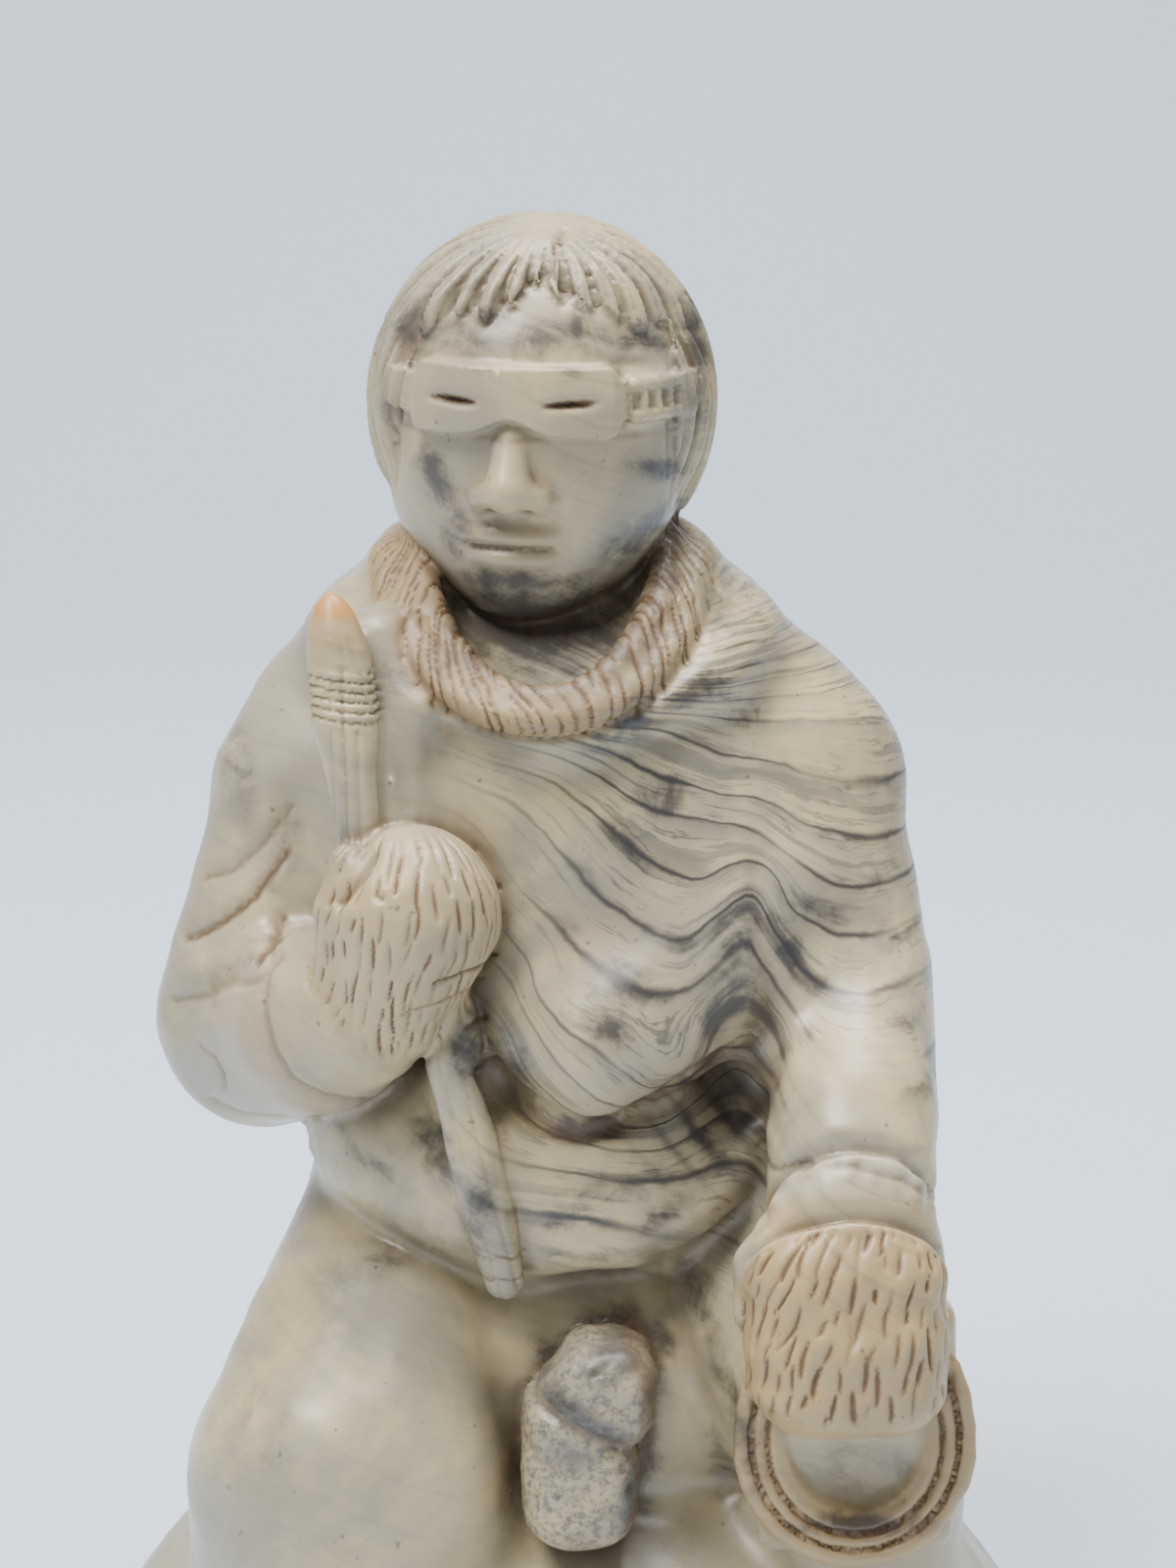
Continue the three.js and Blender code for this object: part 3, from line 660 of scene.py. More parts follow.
def carve_goggles(r):
    x, y, z = to_head(*r.p.T)
    on = near(about_head(goggles), r.p, 0.7)
    side = np.arctan2(x, -y)
    along_slit = (np.abs(x) - SLIT_APART) / SLIT_HALF
    long = np.sqrt(clamp(1 - along_slit**2, 0, 1))
    tilt = 0.05 * (np.abs(x) - SLIT_APART)
    slit = long * bump(z - GOGGLE_LINE - tilt, 0.3 + 0.35 * long) * on * (y < -12)
    r.cut(slit, 1.5, 1)
    r.stain_and_shade(1.5 * clamp(slit * 1.4 - 0.3, 0, 1))
    rim = bump(np.abs(z - GOGGLE_LINE) - MASK_HALF - 0.4, 0.8) * clamp((1 - np.abs(side)) / 0.2, 0, 1)
    # painted shadow along both edges of the band, on the face and hair beside it
    r.stain_and_shade(0.5 * rim * (1 - on) * (y < 0))
    along = (side - PANEL_FROM) / (PANEL_TO - PANEL_FROM)
    panel = on * (along > 0) * (along < 1)
    off_line = np.abs(z - GOGGLE_LINE)
    inside = panel * (off_line < CELL_HALF)
    cell = clamp((0.37 - np.abs(along * CELLS % 1 - 0.5)) / 0.12, 0, 1)
    cell = cell * clamp((CELL_HALF - off_line) / 0.4, 0, 1)
    r.sink += 0.9 * inside * cell - 0.6 * panel
    r.stain_and_shade(0.4 * inside * cell)
    r.cut(on * bump(along, 0.06), 0.4, 0.45)
    ribs = (side < -0.8) * on * bump(np.sin(side * 26), 0.35) * (off_line < 2.2)
    r.cut(ribs * (side > -1.2), 0.35, 0.4)


def carve_face(r):
    x, y, z = to_head(*r.p.T)
    on = near(about_head(bare_face), r.p, 0.7) * (y < -14)
    mouth = bump(z + 15.3 + 0.004 * x * x, 0.55) * clamp((7.6 - np.abs(x)) / 1.5, 0, 1)
    r.cut(mouth * on, 0.7, 0.75)
    nostril = bump(np.hypot((np.abs(x) - 2.6) / 1.3, (z + 9.6) / 0.8), 1)
    r.cut(nostril * on, 0.8, 0.8)
    wings = bump(np.hypot(np.abs(x) - 7.1, z + 7.2), 1.4)
    r.cut(wings * on, 0.3, 0.3)


BOUND_FROM = 164.4  # heights between which the harpoon is bound with cord
BOUND_TO = 172.4
CORD_PITCH = 1.45


def carve_harpoon(r):
    x, y, z = r.p.T
    on = near(harpoon, r.p)
    bound = clamp(np.minimum(z - BOUND_FROM, BOUND_TO - z) / 0.4, 0, 1) * on
    cord = np.sin((z + 0.12 * (x + 31)) * 2 * math.pi / CORD_PITCH)
    r.sink -= 0.35 * bound * (0.5 + 0.5 * cord)
    r.cut(bound * bump(0.5 + 0.5 * cord, 0.35), 0.45, 0.55)
    middle = -33.2 + 0.03 * (160 - z)
    upper = on * (z > 145) * (z < 173)
    r.cut(upper * bump(x - middle, 0.35), 0.4, 0.45)
    r.cut(upper * (z < 164) * bump(np.abs(x - middle) - 2, 0.35), 0.35, 0.35)
    low = on * (z < 118)
    path = -17.3 + 0.245 * (112 - z)
    r.cut(low * (bump(x - path + 1.7, 0.3) + bump(x - path - 1.4, 0.3)), 0.25, 0.3)
    for height in (83.4, 79.8):
        ring = bump(z - height - 0.25 * np.sin(1.7 * x), 0.3)
        r.cut(low * ring, 0.2, 0.6)
    tip = clamp((z - 172) / 9, 0, 1) * near(harpoon_head, r.p, 1.2)
    r.heat(1.25 * tip)


LINES = [  # folds and tool lines on the front: depth, width, dirt and painted shade, and (x, z) route
    (0.5, 0.6, 0.5, [(-57.3, 136), (-52.6, 138.2), (-47.8, 142.6), (-43.5, 148.6)]),
    (0.8, 2.2, 0.05, [(-54, 136), (-48.5, 140), (-43.5, 146)]),
    (0.7, 0.7, 0.75, [(-60.5, 126.5), (-55.2, 129.8), (-49.4, 134), (-44, 141.5)]),
    (0.8, 2.4, 0.1, [(-58, 126.5), (-50, 132), (-44, 139)]),
    (0.6, 0.6, 0.45, [(-62.5, 117.4), (-56.3, 120.1), (-52, 123.3), (-47.3, 125.5), (-44, 129)]),
    (0.7, 2, 0, [(-61, 116), (-55, 119), (-48, 124)]),
    (0.5, 1.3, 0.1, [(-54.8, 122.7), (-58.4, 118.4), (-60, 113.7)]),
    (1.6, 4.5, 0.1, [(-42, 148), (-41, 139), (-43, 132)]),
    (0.9, 0.8, 0.6, [(-28.8, 147), (-31, 143.5), (-34, 139.7)]),
    (0.6, 0.6, 0.6, [(-27.6, 141.3), (-27.3, 141.3)]),
    (0.9, 0.6, 0.8, [(-47.8, 127), (-46.4, 129.5), (-44.6, 131.5)]),
    (0.8, 0.8, 0.45,
     [(-45.6, 129), (-46, 121.3), (-44.4, 115.7), (-41.5, 110.6), (-36.5, 107.5), (-31, 105.5)]),
    (0.3, 0.5, 0.5, [(-57.2, 111.6), (-54.7, 110.7), (-53.2, 107.9), (-53.3, 105.4)]),
    (0.3, 0.6, 0.35, [(-56, 102), (-50.5, 100.3), (-44, 100.7)]),
    (0.35, 0.45, 0.8, [(-6.3, 178), (-6.1, 175.4)]),
    (0.35, 0.45, 0.8, [(-0.2, 177.6), (-0.4, 173.6)]),
    (0.8, 1.6, 0.15, [(-27.5, 171), (-25.2, 162), (-24, 152)]),
    (0.6, 0.4, 0.9, [(-19.5, 127.5), (-14.5, 128.8), (-11, 129.3)]),
    (0.3, 0.35, 0.6, [(-24.5, 122.6), (-17, 124.8), (-13, 125.4)]),
    (0.5, 0.5, 0.8, [(-15, 119), (-12.5, 119.8)]),
    # the crease under the chest's lip, darkened with painted shade
    (2.2, 1.7, 0.5,
     [(-12, 112), (-9, 107), (-3, 103), (2, 101.5), (8, 103), (14, 106), (19, 110), (24, 113)]),
    (0.9, 5, 0, [(-11, 105), (-4, 98), (3, 96), (10, 98), (16, 101), (21, 105)]),
    (0.8, 1.4, 0.25, [(28.5, 141), (29.5, 134), (30.5, 126), (32, 118), (31, 111), (29.5, 104)]),
    (1.1, 1.7, 0.25, [(13.7, 82), (15.8, 74), (18.7, 65), (20.8, 56), (24, 45.5), (27.5, 42)]),
    # a painted shadow along the boulder's right side
    (0.3, 2, 0.5, [(9.5, 72), (12.2, 66), (12.6, 57), (11.8, 48), (9.6, 42)]),
    (0.2, 1.2, 0.45, [(-7.8, 60), (-8.2, 50), (-7, 42), (-3, 38.2), (3, 37.4), (8, 39.5)]),
    (0.5, 0.6, 0.6, [(29, 98), (35, 100.5), (42, 101.5), (50, 99), (55, 94.5)]),
]


def carve_lines(r):
    x, y, z = r.p.T
    for depth, width, dirt_and_shade, points in LINES:
        r.cut(bump(route(x, z, points), width) * (y < FRONT), depth, dirt_and_shade)


def roughen(r):
    x, y, z = r.p.T
    rough = near(boulder, r.p, 1.2)
    pits = clamp(ripple(x, y, z, 1.7, 31) + ripple(x, y, z, 2.9, 32) - 0.4, 0, 1)
    r.cut(rough * pits, 0.9, 0.5)
    r.speckled = np.maximum(r.speckled, rough)
    r.sink += 0.25 * rough * ripple(x, y, z, 5, 33)
    lobes = z - 58.5 + 0.55 * (x - 3)
    r.cut(rough * bump(lobes, 1.3), 1.1, 0.4)
    hem_edge = near(hem, r.p, 1.5) * clamp((-14 - x) / 6, 0, 1)
    r.sink += 0.45 * hem_edge * ripple(x, y, z, 3.4, 35)
    r.cut(hem_edge * clamp(ripple(x, y, z, 2.2, 36) - 0.35, 0, 1), 0.6, 0.5)
    sleeve = near(cuff_left, r.p, 1.2) * bump(along_sleeve(x, y, z) + 7, 2.6) * (y < -44)
    r.sink += 0.4 * sleeve * ripple(x, y, z, 3.8, 37)
    r.worn = np.maximum(r.worn, sleeve * clamp(0.5 + ripple(x, y, z, 3, 38), 0, 1))
    fine = near(head, r.p, 1.5)
    r.sink += (0.22 * ripple(x, y, z, 11, 39) + 0.08 * ripple(x, y, z, 4.5, 40)) * (1 - fine)


# ---- stone: where the dark veins run ----
# Each vein is a sheet through the block, met by the front of the parka along these (x, z) points.
VEINS = [
    [(8, 183), (24, 184), (40, 186)],
    [(12, 177), (24, 178), (36, 179), (46, 182)],
    [(15, 173.5), (25, 174), (36, 175), (46, 177)],
    [(20, 170.5), (25, 170.6), (34, 170.8), (44, 171.5)],
    [(20, 168.7), (26, 168.2), (35, 167.8), (46, 169)],
    [(20, 166.8), (26, 166), (33, 165.2), (46, 166)],
    [(13, 165.5), (18, 165), (22, 163.7), (28, 162.3), (36, 161.8), (49, 160)],
    [(7, 163.5), (12, 163), (18, 160.8), (24, 158), (32, 155.5), (38, 153.5), (50, 151.5)],
    [(6, 159.5), (11, 156.5), (16, 154.5), (23, 152), (31.5, 150), (36, 147), (42, 144.5), (50, 143)],
    [(5, 156), (10, 152.5), (15, 150.3), (21, 148.8), (28, 147),
     (32, 144), (36, 141), (44, 136.5), (53, 137)],
    [(-2, 155), (4, 150), (8, 146.2), (13.6, 142.5), (21, 140.1),
     (25.6, 142), (29.8, 142), (33, 136.5), (38, 132), (46, 129)],
    [(-8, 151.5), (0.4, 142.5), (5, 137.6), (11, 133.9), (17.3, 131.5), (24.4, 136),
     (28.6, 138), (31.5, 131.5), (35, 126), (42, 122.5), (53, 123)],
    [(-14, 148), (-8.6, 141), (-1.4, 133.5), (6.4, 127.5), (13.7, 124),
     (21, 127), (27, 132), (31, 126), (35, 119), (44, 115)],
    [(-17, 143), (-11, 134), (-5.6, 124), (-0.8, 119), (4, 116.6), (9.5, 111.7),
     (14, 109), (20, 113), (28, 121), (32, 113), (38, 106), (46, 103)],
    [(-18, 134), (-11, 128), (-7, 124), (-3.2, 116.6), (2.2, 110.4),
     (6, 107), (12, 105.5), (20, 109), (28, 114.5), (31.5, 108)],
    [(-19, 126), (-12, 122), (-9, 119), (-6.3, 112.9), (-2, 107.3),
     (2, 104.5), (10, 102.5), (18, 104), (28, 108)],
    [(-20, 118), (-13, 114), (-9, 107), (-4, 103.5), (2, 101), (10, 99), (18, 99.5), (28, 102)],
    [(-21, 108), (-14, 102), (-6, 97), (4, 95.5), (14, 94), (28, 95)],
    [(-21, 99), (-12, 92), (-2, 89), (10, 87), (22, 83)],
]


def vein_order(x, z):
    """A smooth value over the block that passes a whole number at each vein."""
    spots = np.array([spot for vein in VEINS for spot in vein], float)
    wanted = np.array([float(n) for n, vein in enumerate(VEINS) for _ in vein])

    def spread(ax, az):
        square = (ax[:, None] - spots[:, 0]) ** 2 + (az[:, None] - spots[:, 1]) ** 2 + 1
        return 0.5 * square * np.log(square)

    count = len(spots)
    flat = np.column_stack([np.ones(count), spots])
    stiff = spread(spots[:, 0], spots[:, 1]) + 6 * np.eye(count)
    system = np.block([[stiff, flat], [flat.T, np.zeros((3, 3))]])
    weights = np.linalg.solve(system, np.concatenate([wanted, np.zeros(3)]))
    return spread(x, z) @ weights[:count] + weights[count] + weights[count + 1] * x + weights[count + 2] * z


SMEARS = [  # dark clouds in the stone, and painted shade in a few places: x, z, half width, half height, lean in degrees, strength
    # level with the head
    (15, 187, 3.6, 10, -25, 1), (-20, 200, 2.8, 6.5, 20, 0.95), (13.5, 201, 5, 1.7, -10, 1),
    (11, 191, 8, 3.4, 35, 0.7), (-17, 192, 2.6, 5, 0, 0.65), (20, 219, 2.6, 10, 5, 0.85),
    (-24, 222, 3.2, 4, 0, 0.85), (-5, 221, 17, 1.8, 3, 0.75), (1.5, 223, 1.8, 4, 0, 0.95),
    (-11, 223.5, 5, 2.6, -10, 0.75), (11, 221, 7, 2.6, -6, 0.7), (0, 217, 4, 2.6, 0, 0.5),
    (-3, 221, 22, 4, 0, 0.62), (-27, 208, 2.4, 7, 10, 0.5),
    # level with the neck and shoulders
    (19, 168.5, 6, 2.2, 15, 1.2), (9, 164, 9, 3.4, 38, 0.8), (23, 167, 3.4, 1.4, -10, 0.8),
    # (-5, 177) is painted shade on the neck under the chin
    (27.5, 163, 3.4, 2, -20, 0.9), (-5, 177, 17, 7, 0, 1.2), (13, 176, 5, 8, -40, 0.65),
    (23, 181, 3, 7, 20, 0.6), (-7, 184.5, 11, 2, 0, 0.9), (-33, 176, 6, 6, -40, 0.35),
    (-2, 169, 20, 4, 0, 0.25), (-26, 170, 3, 6, 30, 0.5),
    # level with the chest
    (13.5, 152.5, 3.6, 5, -30, 1.1), (8.5, 146, 5.2, 1.8, -50, 1.1), (0, 133.5, 3, 1.4, -30, 0.6),
    (9.5, 125.5, 5, 3.2, -40, 0.9), (5.5, 119.5, 6.5, 2.6, -25, 1.05), (25.5, 130, 4.2, 11, -10, 1),
    (24, 121, 5, 5, 0, 0.9), (28.5, 118, 3, 6, 0, 1.25), (33.5, 129.5, 2.2, 6.5, 25, 1.1),
    (38.6, 123.8, 3.6, 1.8, -15, 0.9), (38, 134, 6, 1.8, -35, 1), (-14, 115, 4, 7, 0, 0.8),
    (16, 132, 5, 2, -30, 0.6), (14, 118, 5, 2, 10, 0.6), (2, 142, 4, 1.6, -40, 0.45),
    (47, 151.4, 5, 1.2, -3, 0.8), (44, 143.4, 6, 1.2, -8, 0.9), (47.6, 137.3, 5, 1.6, 8, 0.8),
    # (27, 127) is painted shade in the armpit
    (52, 128, 4, 1.5, 10, 0.8), (52.4, 118.3, 3.6, 2.2, 0, 0.6), (27, 127, 8, 15, -8, 0.5),
    (-10, 158, 12, 6, -20, 0.3), (-52, 152, 4, 11, 8, 0.45), (-47, 128, 6, 6, 0, 0.35),
    (-45, 140, 3, 9, -15, 0.5), (-32, 148, 5, 5, 0, 0.4), (-50, 152, 2, 7, 10, 0.5),
    (-55, 120, 4, 5, 20, 0.35),
    # level with the belly
    (31.5, 110, 2, 7, 0, 0.7), (-8.5, 113, 2.8, 8, 20, 1), (2, 102.5, 7, 2, 0, 1.1),
    (13.5, 106.5, 7, 2, 27, 1), (20.7, 111.5, 6, 2.2, 32, 1), (20.7, 99.8, 3.4, 1.4, -35, 1.2),
    (24.3, 104, 3, 2.2, 20, 1.1), (26.7, 100.5, 3, 1.8, 10, 1.2), (14, 95.5, 2.4, 1.6, -30, 0.9),
    (18.3, 107.2, 3.4, 2.2, 20, 0.9), (24.3, 96, 4.6, 1.4, 25, 0.8), (15, 89, 7, 1.8, 25, 0.7),
    (4, 83, 8, 1.7, 0, 0.85), (53.6, 110.3, 4, 2.2, 5, 0.7), (44, 100, 4, 1.4, -12, 0.4),
    (-20, 99, 4, 7, 10, 0.8), (-14, 90, 3, 8, -12, 0.7), (-30, 94, 7, 2.4, -20, 0.7),
    (-38, 99, 6, 2, -25, 0.6), (-30, 79, 12, 4, 25, 0.5), (47, 86, 10, 5, 0, 0.25),
    (-24, 82, 8, 3, 30, 0.45), (4, 78, 8, 3, 0, 0.6), (8, 93, 14, 4, 12, 0.55), (0, 88, 12, 3, 0, 0.6),
    # level with the legs
    (-46, 60, 6, 10, 10, 0.35), (-30, 44, 11, 5, 0, 0.35), (44, 65, 14, 5, 0, 0.25),
    # (11, 47) is a painted shadow along the boulder's right side
    (-33, 70, 9, 4, -20, 0.3), (11, 47, 3.4, 10, 0, 1.1), (2, 61, 9, 2.2, -35, 1.4),
    (0, 55, 6, 3, 0, 0.7), (5, 68, 4, 3, 0, 0.6), (8, 70, 5, 2.6, 0, 0.8), (14, 66, 2.6, 7, 0, 0.9),
    # (44, 44.5) and (43, 52) are painted shade inside the coil's hollow
    (44, 44.5, 10, 2, 0, 1.2), (43, 52, 12, 7, 0, 0.45), (26, 58, 3.5, 9, 15, 0.85),
    (24, 45, 3, 8, 12, 0.85), (20, 74, 3, 8, 15, 0.85),
]
CROSSED = (21.5, 102, 9, 8)  # where a second set of dark lines crosses the first: x, z and half sizes


def smears(x, z):
    total = np.zeros_like(x)
    for cx, cz, wide, high, lean, strength in SMEARS:
        turn = math.radians(lean)
        u = (x - cx) * math.cos(turn) + (z - cz) * math.sin(turn)
        v = (z - cz) * math.cos(turn) - (x - cx) * math.sin(turn)
        total = np.maximum(total, strength * np.exp(-((u / wide) ** 2) - (v / high) ** 2))
    return total


def paint(piece, name, values):
    layer = piece.data.attributes.new(name, "FLOAT", "POINT")
    layer.data.foreach_set("value", values.astype(np.float32))


CARVING = (
    carve_mittens, carve_coil, carve_ruff, carve_hair, carve_goggles, carve_face, carve_harpoon,
    carve_lines, roughen,
)
# forms with fainter veins: by how much, and how far round them
UNVEINED = ((head, 0.8, 2), (mitten_right, 0.85, 0.8), (hand_left, 0.8, 0.8), (ruff, 0.7, 0.8))


def veins_shown(p, front):
    """How strongly the veins show: most over the front of the parka, on the rope's side."""
    x, _, z = p.T
    chest_side = clamp((x + 20) / 24, 0, 1) * clamp((z - 72) / 16, 0, 1)
    shown = 0.1 + 0.9 * chest_side * front + 0.25 * (1 - front) * clamp((x + 20) / 40, 0, 1)
    for form, fade, reach in UNVEINED:
        shown = shown * (1 - fade * near(form, p, reach))
    return shown * (1 - 0.85 * bump(np.hypot((x - NECK_X) / 20, (z - 184) / 13), 1))


def hollowness(p, normal):
    """1 deep in a hollow, 0 on open stone, felt at a near and at a far distance."""
    close = clamp(1 - hunter(*(p + 2.2 * normal).T) / 2.2, 0, 1)
    wide = clamp(1 - hunter(*(p + 9 * normal).T) / 9, 0, 1)
    return clamp(0.55 * close + 0.45 * wide, 0, 1)


def carve_piece():
    piece = copy_block()
    split_long_edges(piece, 5)
    p = settle(piece, 3, 0.4)
    _, g = slopes(hunter, p)
    normal = unit_rows(g)
    r = Relief(p)
    for carve_part in CARVING:
        carve_part(r)
    x, y, z = p.T
    front = clamp((12 - y) / 14, 0, 1)
    cross_x, cross_z, cross_wide, cross_high = CROSSED
    apart = np.hypot((x - cross_x) / cross_wide, (z - cross_z) / cross_high)
    for name in ("mark", "worn", "warm", "speckled"):
        paint(piece, name, getattr(r, name))
    # the hollow attribute is painted shade: it darkens the stone in recesses
    paint(piece, "hollow", hollowness(p, normal))
    paint(piece, "vein_order", vein_order(x, z))
    paint(piece, "veined", veins_shown(p, front))
    paint(piece, "smear", smears(x, z) * front * (1 + 0.2 * near(head, p, 2)))
    paint(piece, "crossed", bump(apart, 1) * front)
    foot = clamp((z - 0.5) / 4, 0, 1)  # the sole stays flat
    write_points(piece, p - normal * (r.sink * foot)[:, None])
    piece.data.shade_smooth()
    return piece


# ---- materials ----
COLOUR_A = 6  # the Mix node's colour sockets share their names with others, so they go by number
COLOUR_B = 7
COLOUR_OUT = 2


class Nodes:
    """Short names for the nodes of one material."""

    def __init__(self, material):
        material.use_nodes = True
        self.tree = material.node_tree
        self.tree.nodes.clear()

    def add(self, kind, **inputs):
        node = self.tree.nodes.new(kind)
        for key, value in inputs.items():
            self.plug(node.inputs[key.replace("_", " ")], value)
        return node

    def plug(self, socket, value):
        if isinstance(value, bpy.types.NodeSocket):
            self.tree.links.new(value, socket)
        else:
            socket.default_value = value

    def noise(self, place, scale, detail, rough, warp=0):
        node = self.add("ShaderNodeTexNoise", Vector=place, Scale=scale, Detail=detail, Roughness=rough)
        self.plug(node.inputs["Distortion"], warp)
        return node.outputs["Fac"]

    def calc(self, kind, a, b=0.0):
        node = self.tree.nodes.new("ShaderNodeMath")
        node.operation = kind
        self.plug(node.inputs[0], a)
        self.plug(node.inputs[1], b)
        return node.outputs[0]

    def times(self, a, b):
        return self.calc("MULTIPLY", a, b)

    def plus(self, a, b):
        return self.calc("ADD", a, b)

    def minus(self, a, b):
        return self.calc("SUBTRACT", a, b)

    def span(self, value, low, high, to_low=0.0, to_high=1.0):
        """Runs smoothly from to_low to to_high as the value goes from low to high."""
        node = self.add("ShaderNodeMapRange", Value=value, From_Min=low, From_Max=high)
        self.plug(node.inputs["To Min"], to_low)
        self.plug(node.inputs["To Max"], to_high)
        node.interpolation_type = "SMOOTHSTEP"
        return node.outputs["Result"]

    def attribute(self, name):
        node = self.tree.nodes.new("ShaderNodeAttribute")
        node.attribute_name = name
        return node.outputs["Fac"]

    def blend(self, amount, under, over):
        node = self.tree.nodes.new("ShaderNodeMix")
        node.data_type = "RGBA"
        self.plug(node.inputs["Factor"], amount)
        self.plug(node.inputs[COLOUR_A], under)
        self.plug(node.inputs[COLOUR_B], over)
        return node.outputs[COLOUR_OUT]


def colour(r, g, b):
    """A colour given as it looks on a screen, from 0 to 255."""

    def linear(c):
        c /= 255
        return c / 12.92 if c <= 0.04045 else ((c + 0.055) / 1.055) ** 2.4

    return linear(r), linear(g), linear(b), 1


CREAM = colour(205, 186, 143)
PALE_GREY = colour(160, 152, 130)
PINK_BEIGE = colour(188, 160, 121)
OCHRE = colour(184, 152, 99)
ORANGE = colour(204, 140, 66)
SLATE = colour(52, 51, 54)
ASH = colour(104, 101, 94)
# brown for dirt in the tool cuts, also used for painted shade in hollows and creases
DIRT_AND_SHADE = colour(96, 68, 38)
SOOT = colour(52, 42, 33)
DUST = colour(226, 218, 200)

LAYER_RATE = 2.2  # how fast the layers change across the strata
LAYER_STRETCH = 24  # how fast they change along the strata
CROSS_LEAN = math.radians(40)
CROSS_PITCH = 0.0042


def ground(n, place, grain):
    """Cream stone with grey and beige clouds, ochre or orange where it is warm, and a faint grain."""
    warm = n.attribute("warm")
    base = n.blend(n.span(n.noise(place, 26, 4, 0.6, 0.8), 0.37, 0.62), CREAM, PALE_GREY)
    base = n.blend(n.span(n.noise(place, 17, 3, 0.5, 0.5), 0.5, 0.72, 0, 0.6), base, PINK_BEIGE)
    base = n.blend(n.times(warm, 0.7), base, OCHRE)
    base = n.blend(n.span(warm, 1.0, 1.25, 0, 0.85), base, ORANGE)
    return n.blend(n.span(grain, 0.35, 0.7, 0, 0.22), base, PALE_GREY)


def stretched(n, place, order):
    """Noise that runs along the strata."""
    axes = n.add("ShaderNodeSeparateXYZ", Vector=place)
    along = n.times(axes.outputs["X"], LAYER_STRETCH)
    deep = n.times(axes.outputs["Y"], LAYER_STRETCH)
    layered = n.add("ShaderNodeCombineXYZ", X=n.times(order, LAYER_RATE), Y=along, Z=deep)
    return n.noise(layered.outputs[0], 1, 5, 0.62)


def cross_lines(n, place, wander):
    """A second set of lines, leaning across the strata."""
    tilted = n.add("ShaderNodeVectorRotate", Vector=place, Angle=CROSS_LEAN)
    tilted.rotation_type = "Y_AXIS"
    axes = n.add("ShaderNodeSeparateXYZ", Vector=tilted.outputs[0])
    row = n.plus(n.times(axes.outputs["X"], 1 / CROSS_PITCH), n.times(wander, 2))
    return n.times(n.span(n.calc("PINGPONG", row, 0.5), 0, 0.3, 1, 0), n.attribute("crossed"))


def strata(n, place, base):
    """A dark line at each whole number, shaded on one side, with fainter ones between, and dark clouds, some
    of which are painted shade.
    """
    veined = n.attribute("veined")
    smear = n.attribute("smear")
    wander = n.times(n.minus(n.noise(place, 95, 4, 0.6), 0.5), 0.3)
    order = n.plus(n.attribute("vein_order"), wander)
    strength = n.span(n.noise(place, 48, 2, 0.5), 0.3, 0.58, 0.3, 1)
    thick = n.plus(n.span(n.noise(place, 70, 3, 0.6), 0.35, 0.75, 0.05, 0.16), n.times(smear, 0.1))
    main = n.times(n.span(n.calc("PINGPONG", order, 0.5), 0, thick, 1, 0), strength)
    below = n.span(n.calc("FRACT", order), 0, 0.6, 1, 0)
    halo = n.times(below, n.span(n.noise(place, 38, 4, 0.65), 0.4, 0.68, 0, 0.6))
    layer = stretched(n, place, order)
    low_line = n.calc("ABSOLUTE", n.minus(layer, 0.44))
    high_line = n.calc("ABSOLUTE", n.minus(layer, 0.57))
    hair_line = n.calc("MINIMUM", low_line, high_line)
    patchy = n.span(n.noise(place, 55, 3, 0.5), 0.4, 0.62, 0.1, 0.65)
    fine = n.times(n.span(hair_line, 0, 0.022, 1, 0), patchy)
    lines = n.times(n.calc("MAXIMUM", main, fine), veined)
    band = n.times(n.span(layer, 0.48, 0.66, 0, 0.7), veined)
    base = n.blend(n.calc("MAXIMUM", band, n.times(halo, veined)), base, ASH)
    # dark clouds in the stone and some painted shade, from the smear attribute, streaked along the strata
    streak = n.times(n.minus(layer, 0.5), n.plus(n.times(veined, 1.6), 0.8))
    cloudy = n.plus(n.times(n.minus(n.noise(place, 150, 6, 0.72, 0.5), 0.5), 2.4), streak)
    dark = n.span(n.plus(smear, n.times(cloudy, n.span(smear, 0.02, 0.5))), 0.08, 1.15)
    base = n.blend(n.times(dark, 0.85), base, SLATE)
    base = n.blend(n.times(lines, 0.9), base, SLATE)
    crossing = n.times(cross_lines(n, place, wander), strength)
    return n.blend(n.times(crossing, 0.85), base, SLATE)


def specked(n, place, base):
    """Speckles on the rough boulder, and stray specks everywhere."""
    speckle = n.span(n.noise(place, 800, 5, 0.75), 0.46, 0.6, 0, 0.8)
    base = n.blend(n.times(speckle, n.attribute("speckled")), base, ASH)
    return n.blend(n.span(n.noise(place, 520, 2, 0.4), 0.73, 0.77, 0, 0.5), base, SLATE)


def dirtied_and_shaded(n, place, base, mark):
    """Painted shade in the hollows, dirt and painted shade in the tool cuts and folds, dust where the stone
    is scraped.
    """
    patchy = n.span(n.noise(place, 60, 4, 0.6), 0.25, 0.7, 0.35, 0.66)
    # painted shade: recesses are darkened towards a grey-brown
    painted_shade = n.times(n.span(n.attribute("hollow"), 0.2, 0.85), patchy)
    base = n.blend(painted_shade, base, n.blend(0.45, DIRT_AND_SHADE, ASH))
    base = n.blend(n.span(mark, 0.05, 0.9, 0, 0.88), base, DIRT_AND_SHADE)
    base = n.blend(n.span(mark, 1.0, 1.4, 0, 0.9), base, SOOT)
    return n.blend(n.times(n.attribute("worn"), 0.6), base, DUST)


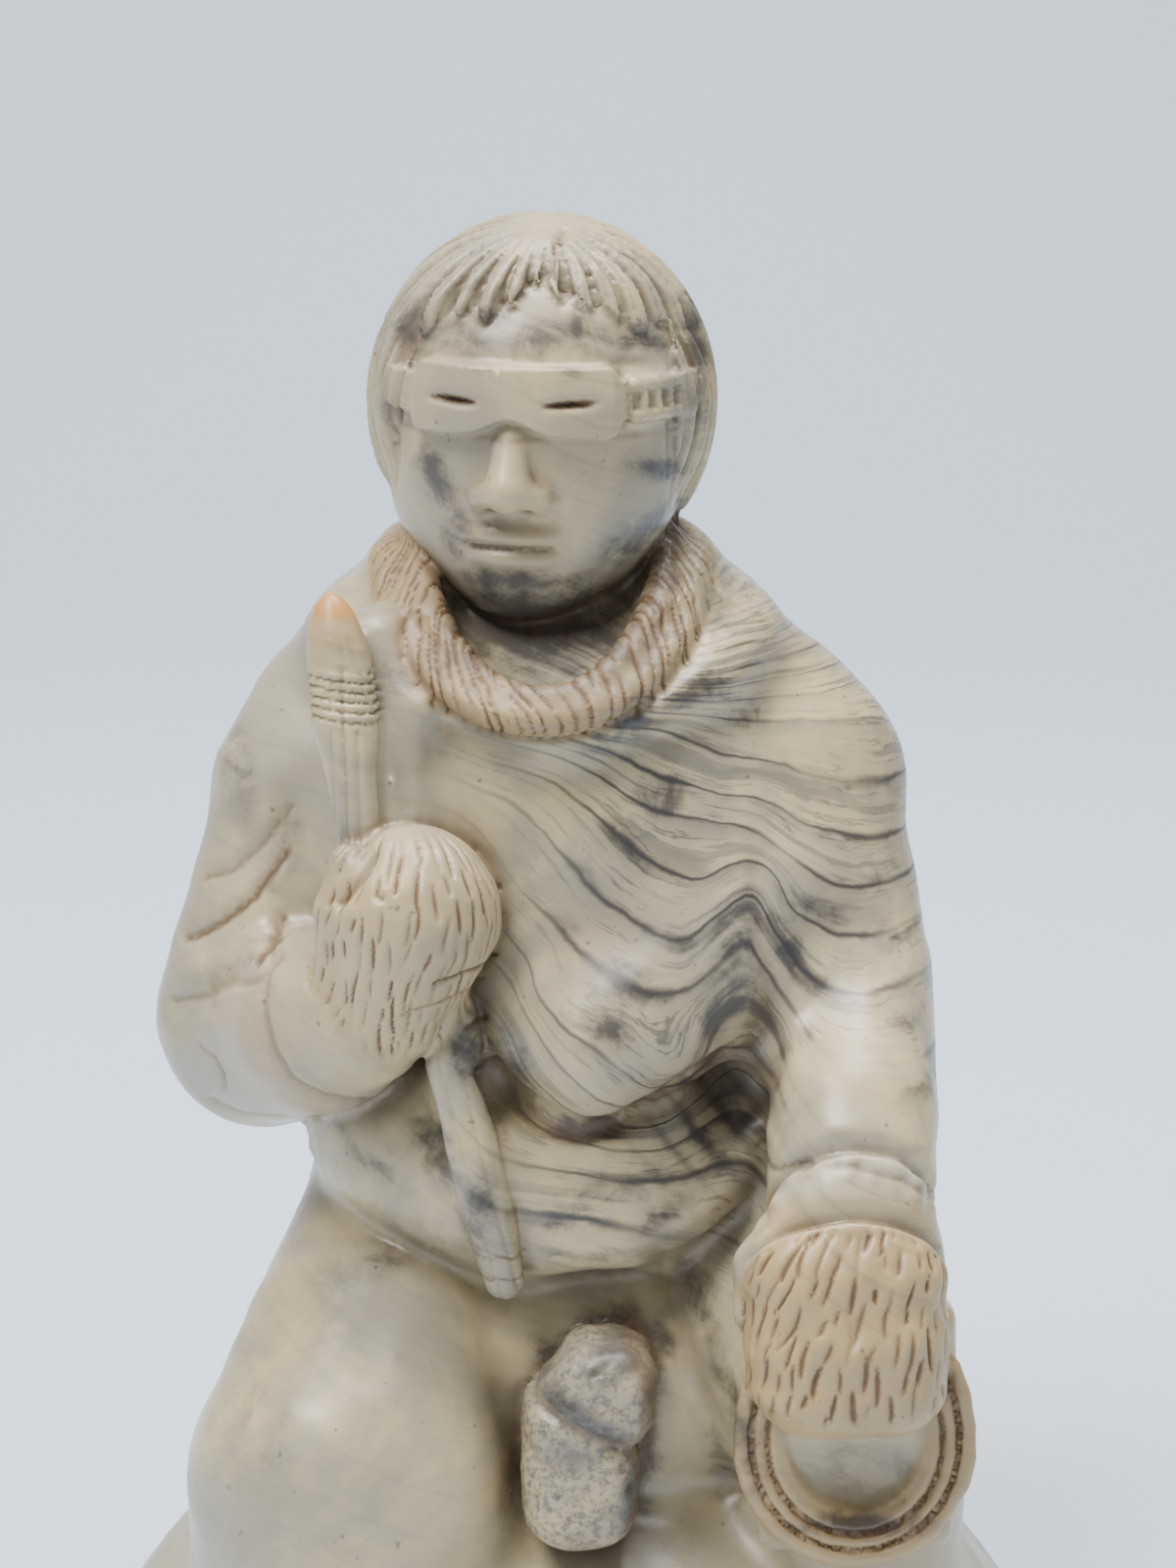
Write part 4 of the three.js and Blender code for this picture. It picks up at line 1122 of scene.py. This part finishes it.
def soapstone_material():
    """Veined stone with a satin, slightly uneven polish."""
    material = bpy.data.materials.new("soapstone_polished")
    n = Nodes(material)
    place = n.add("ShaderNodeTexCoord").outputs["Object"]
    mark = n.attribute("mark")
    grain = n.noise(place, 420, 4, 0.65)
    base = strata(n, place, ground(n, place, grain))
    base = dirtied_and_shaded(n, place, specked(n, place, base), mark)
    rough = n.plus(n.span(n.noise(place, 75, 3, 0.6), 0.3, 0.7, 0.25, 0.4), n.times(mark, 0.35))
    bumps = n.plus(n.times(grain, 0.25), n.noise(place, 160, 3, 0.5))
    uneven = n.add("ShaderNodeBump", Strength=0.16, Distance=0.0006, Height=bumps)
    shader = n.add(
        "ShaderNodeBsdfPrincipled",
        Base_Color=base,
        Roughness=rough,
        Normal=uneven.outputs[0],
        Subsurface_Weight=0.06,
        Subsurface_Radius=(0.004, 0.003, 0.002),
        Subsurface_Scale=1.0,
    )
    n.add("ShaderNodeOutputMaterial", Surface=shader.outputs[0])
    return material


# ---- stage, lights and camera ----
def plain_material(name, shade, rough):
    material = bpy.data.materials.new(name)
    n = Nodes(material)
    shader = n.add("ShaderNodeBsdfPrincipled", Base_Color=shade, Roughness=rough)
    n.add("ShaderNodeOutputMaterial", Surface=shader.outputs[0])
    return material


def make_stage():
    """A pale floor that curves up into a pale wall behind."""
    bpy.ops.object.select_all(action="DESELECT")
    bpy.ops.mesh.primitive_plane_add(size=1, location=(0, 0, 0))
    floor = bpy.context.object
    floor.name = "floor"
    wide = 8
    deep = 3.2
    forward = 0.4
    floor.data.transform(Matrix.Diagonal((wide, deep, 1, 1)))
    floor.data.transform(Matrix.Translation((0, -forward, 0)))
    bpy.ops.object.mode_set(mode="EDIT")
    bpy.ops.mesh.select_all(action="DESELECT")
    bpy.ops.object.mode_set(mode="OBJECT")
    for edge in floor.data.edges:  # only the back edge
        edge.select = all(floor.data.vertices[v].co.y > 1 for v in edge.vertices)
    bpy.ops.object.mode_set(mode="EDIT")
    bpy.ops.mesh.select_mode(type="EDGE")
    bends = 12
    curve_radius = 1.1
    step = curve_radius * math.pi / 2 / bends
    for n in range(bends):
        a = (n + 0.5) / bends * math.pi / 2
        bpy.ops.mesh.extrude_region_move(
            TRANSFORM_OT_translate={"value": (0, step * math.cos(a), step * math.sin(a))}
        )
    wall_height = 3
    bpy.ops.mesh.extrude_region_move(TRANSFORM_OT_translate={"value": (0, 0, wall_height)})
    bpy.ops.object.mode_set(mode="OBJECT")
    floor.data.shade_smooth()
    floor.data.materials.append(plain_material("pale_paper", colour(209, 220, 234), 0.85))


def area_light(name, place, towards, size, power, tint):
    light = bpy.data.lights.new(name, "AREA")
    light.shape = "DISK"
    light.size = size
    light.energy = power
    light.color = tint
    lamp = bpy.data.objects.new(name, light)
    lamp.location = place
    lamp.rotation_euler = (Vector(towards) - Vector(place)).to_track_quat("-Z", "Y").to_euler()
    bpy.context.scene.collection.objects.link(lamp)


def make_lights():
    heart = (0, 0, 0.14)
    area_light("window", (-0.5, -0.55, 1.25), heart, 0.6, 22, (1, 0.98, 0.95))
    area_light("fill", (1.2, -0.8, 0.5), heart, 1.0, 1.2, (0.93, 0.96, 1))
    area_light("top", (0.15, -0.05, 1.35), heart, 0.7, 14, (1, 1, 1))
    area_light("wall", (0, 0.35, 1.9), (0, 2.2, 0.6), 1.6, 62, (0.95, 0.97, 1))
    world = bpy.data.worlds.new("studio")
    bpy.context.scene.world = world
    world.use_nodes = True
    background = world.node_tree.nodes["Background"]
    background.inputs["Color"].default_value = (0.84, 0.87, 0.9, 1)
    background.inputs["Strength"].default_value = 0.25


def make_camera():
    aim = Vector((0.003, 0, 0.149))
    away = 0.6
    rise = math.radians(10)
    camera_data = bpy.data.cameras.new("camera")
    camera_data.lens = 86.4
    camera_data.sensor_width = 36
    camera = bpy.data.objects.new("camera", camera_data)
    camera.location = aim + Vector((0, -away * math.cos(rise), away * math.sin(rise)))
    camera.rotation_euler = (aim - camera.location).to_track_quat("-Z", "Y").to_euler()
    bpy.context.scene.collection.objects.link(camera)
    bpy.context.scene.camera = camera


hunter_piece = carve_piece()
hunter_piece.data.materials.clear()
hunter_piece.data.materials.append(soapstone_material())
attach(hunter_piece, "root")
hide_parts("hunter")
make_stage()
make_lights()
make_camera()
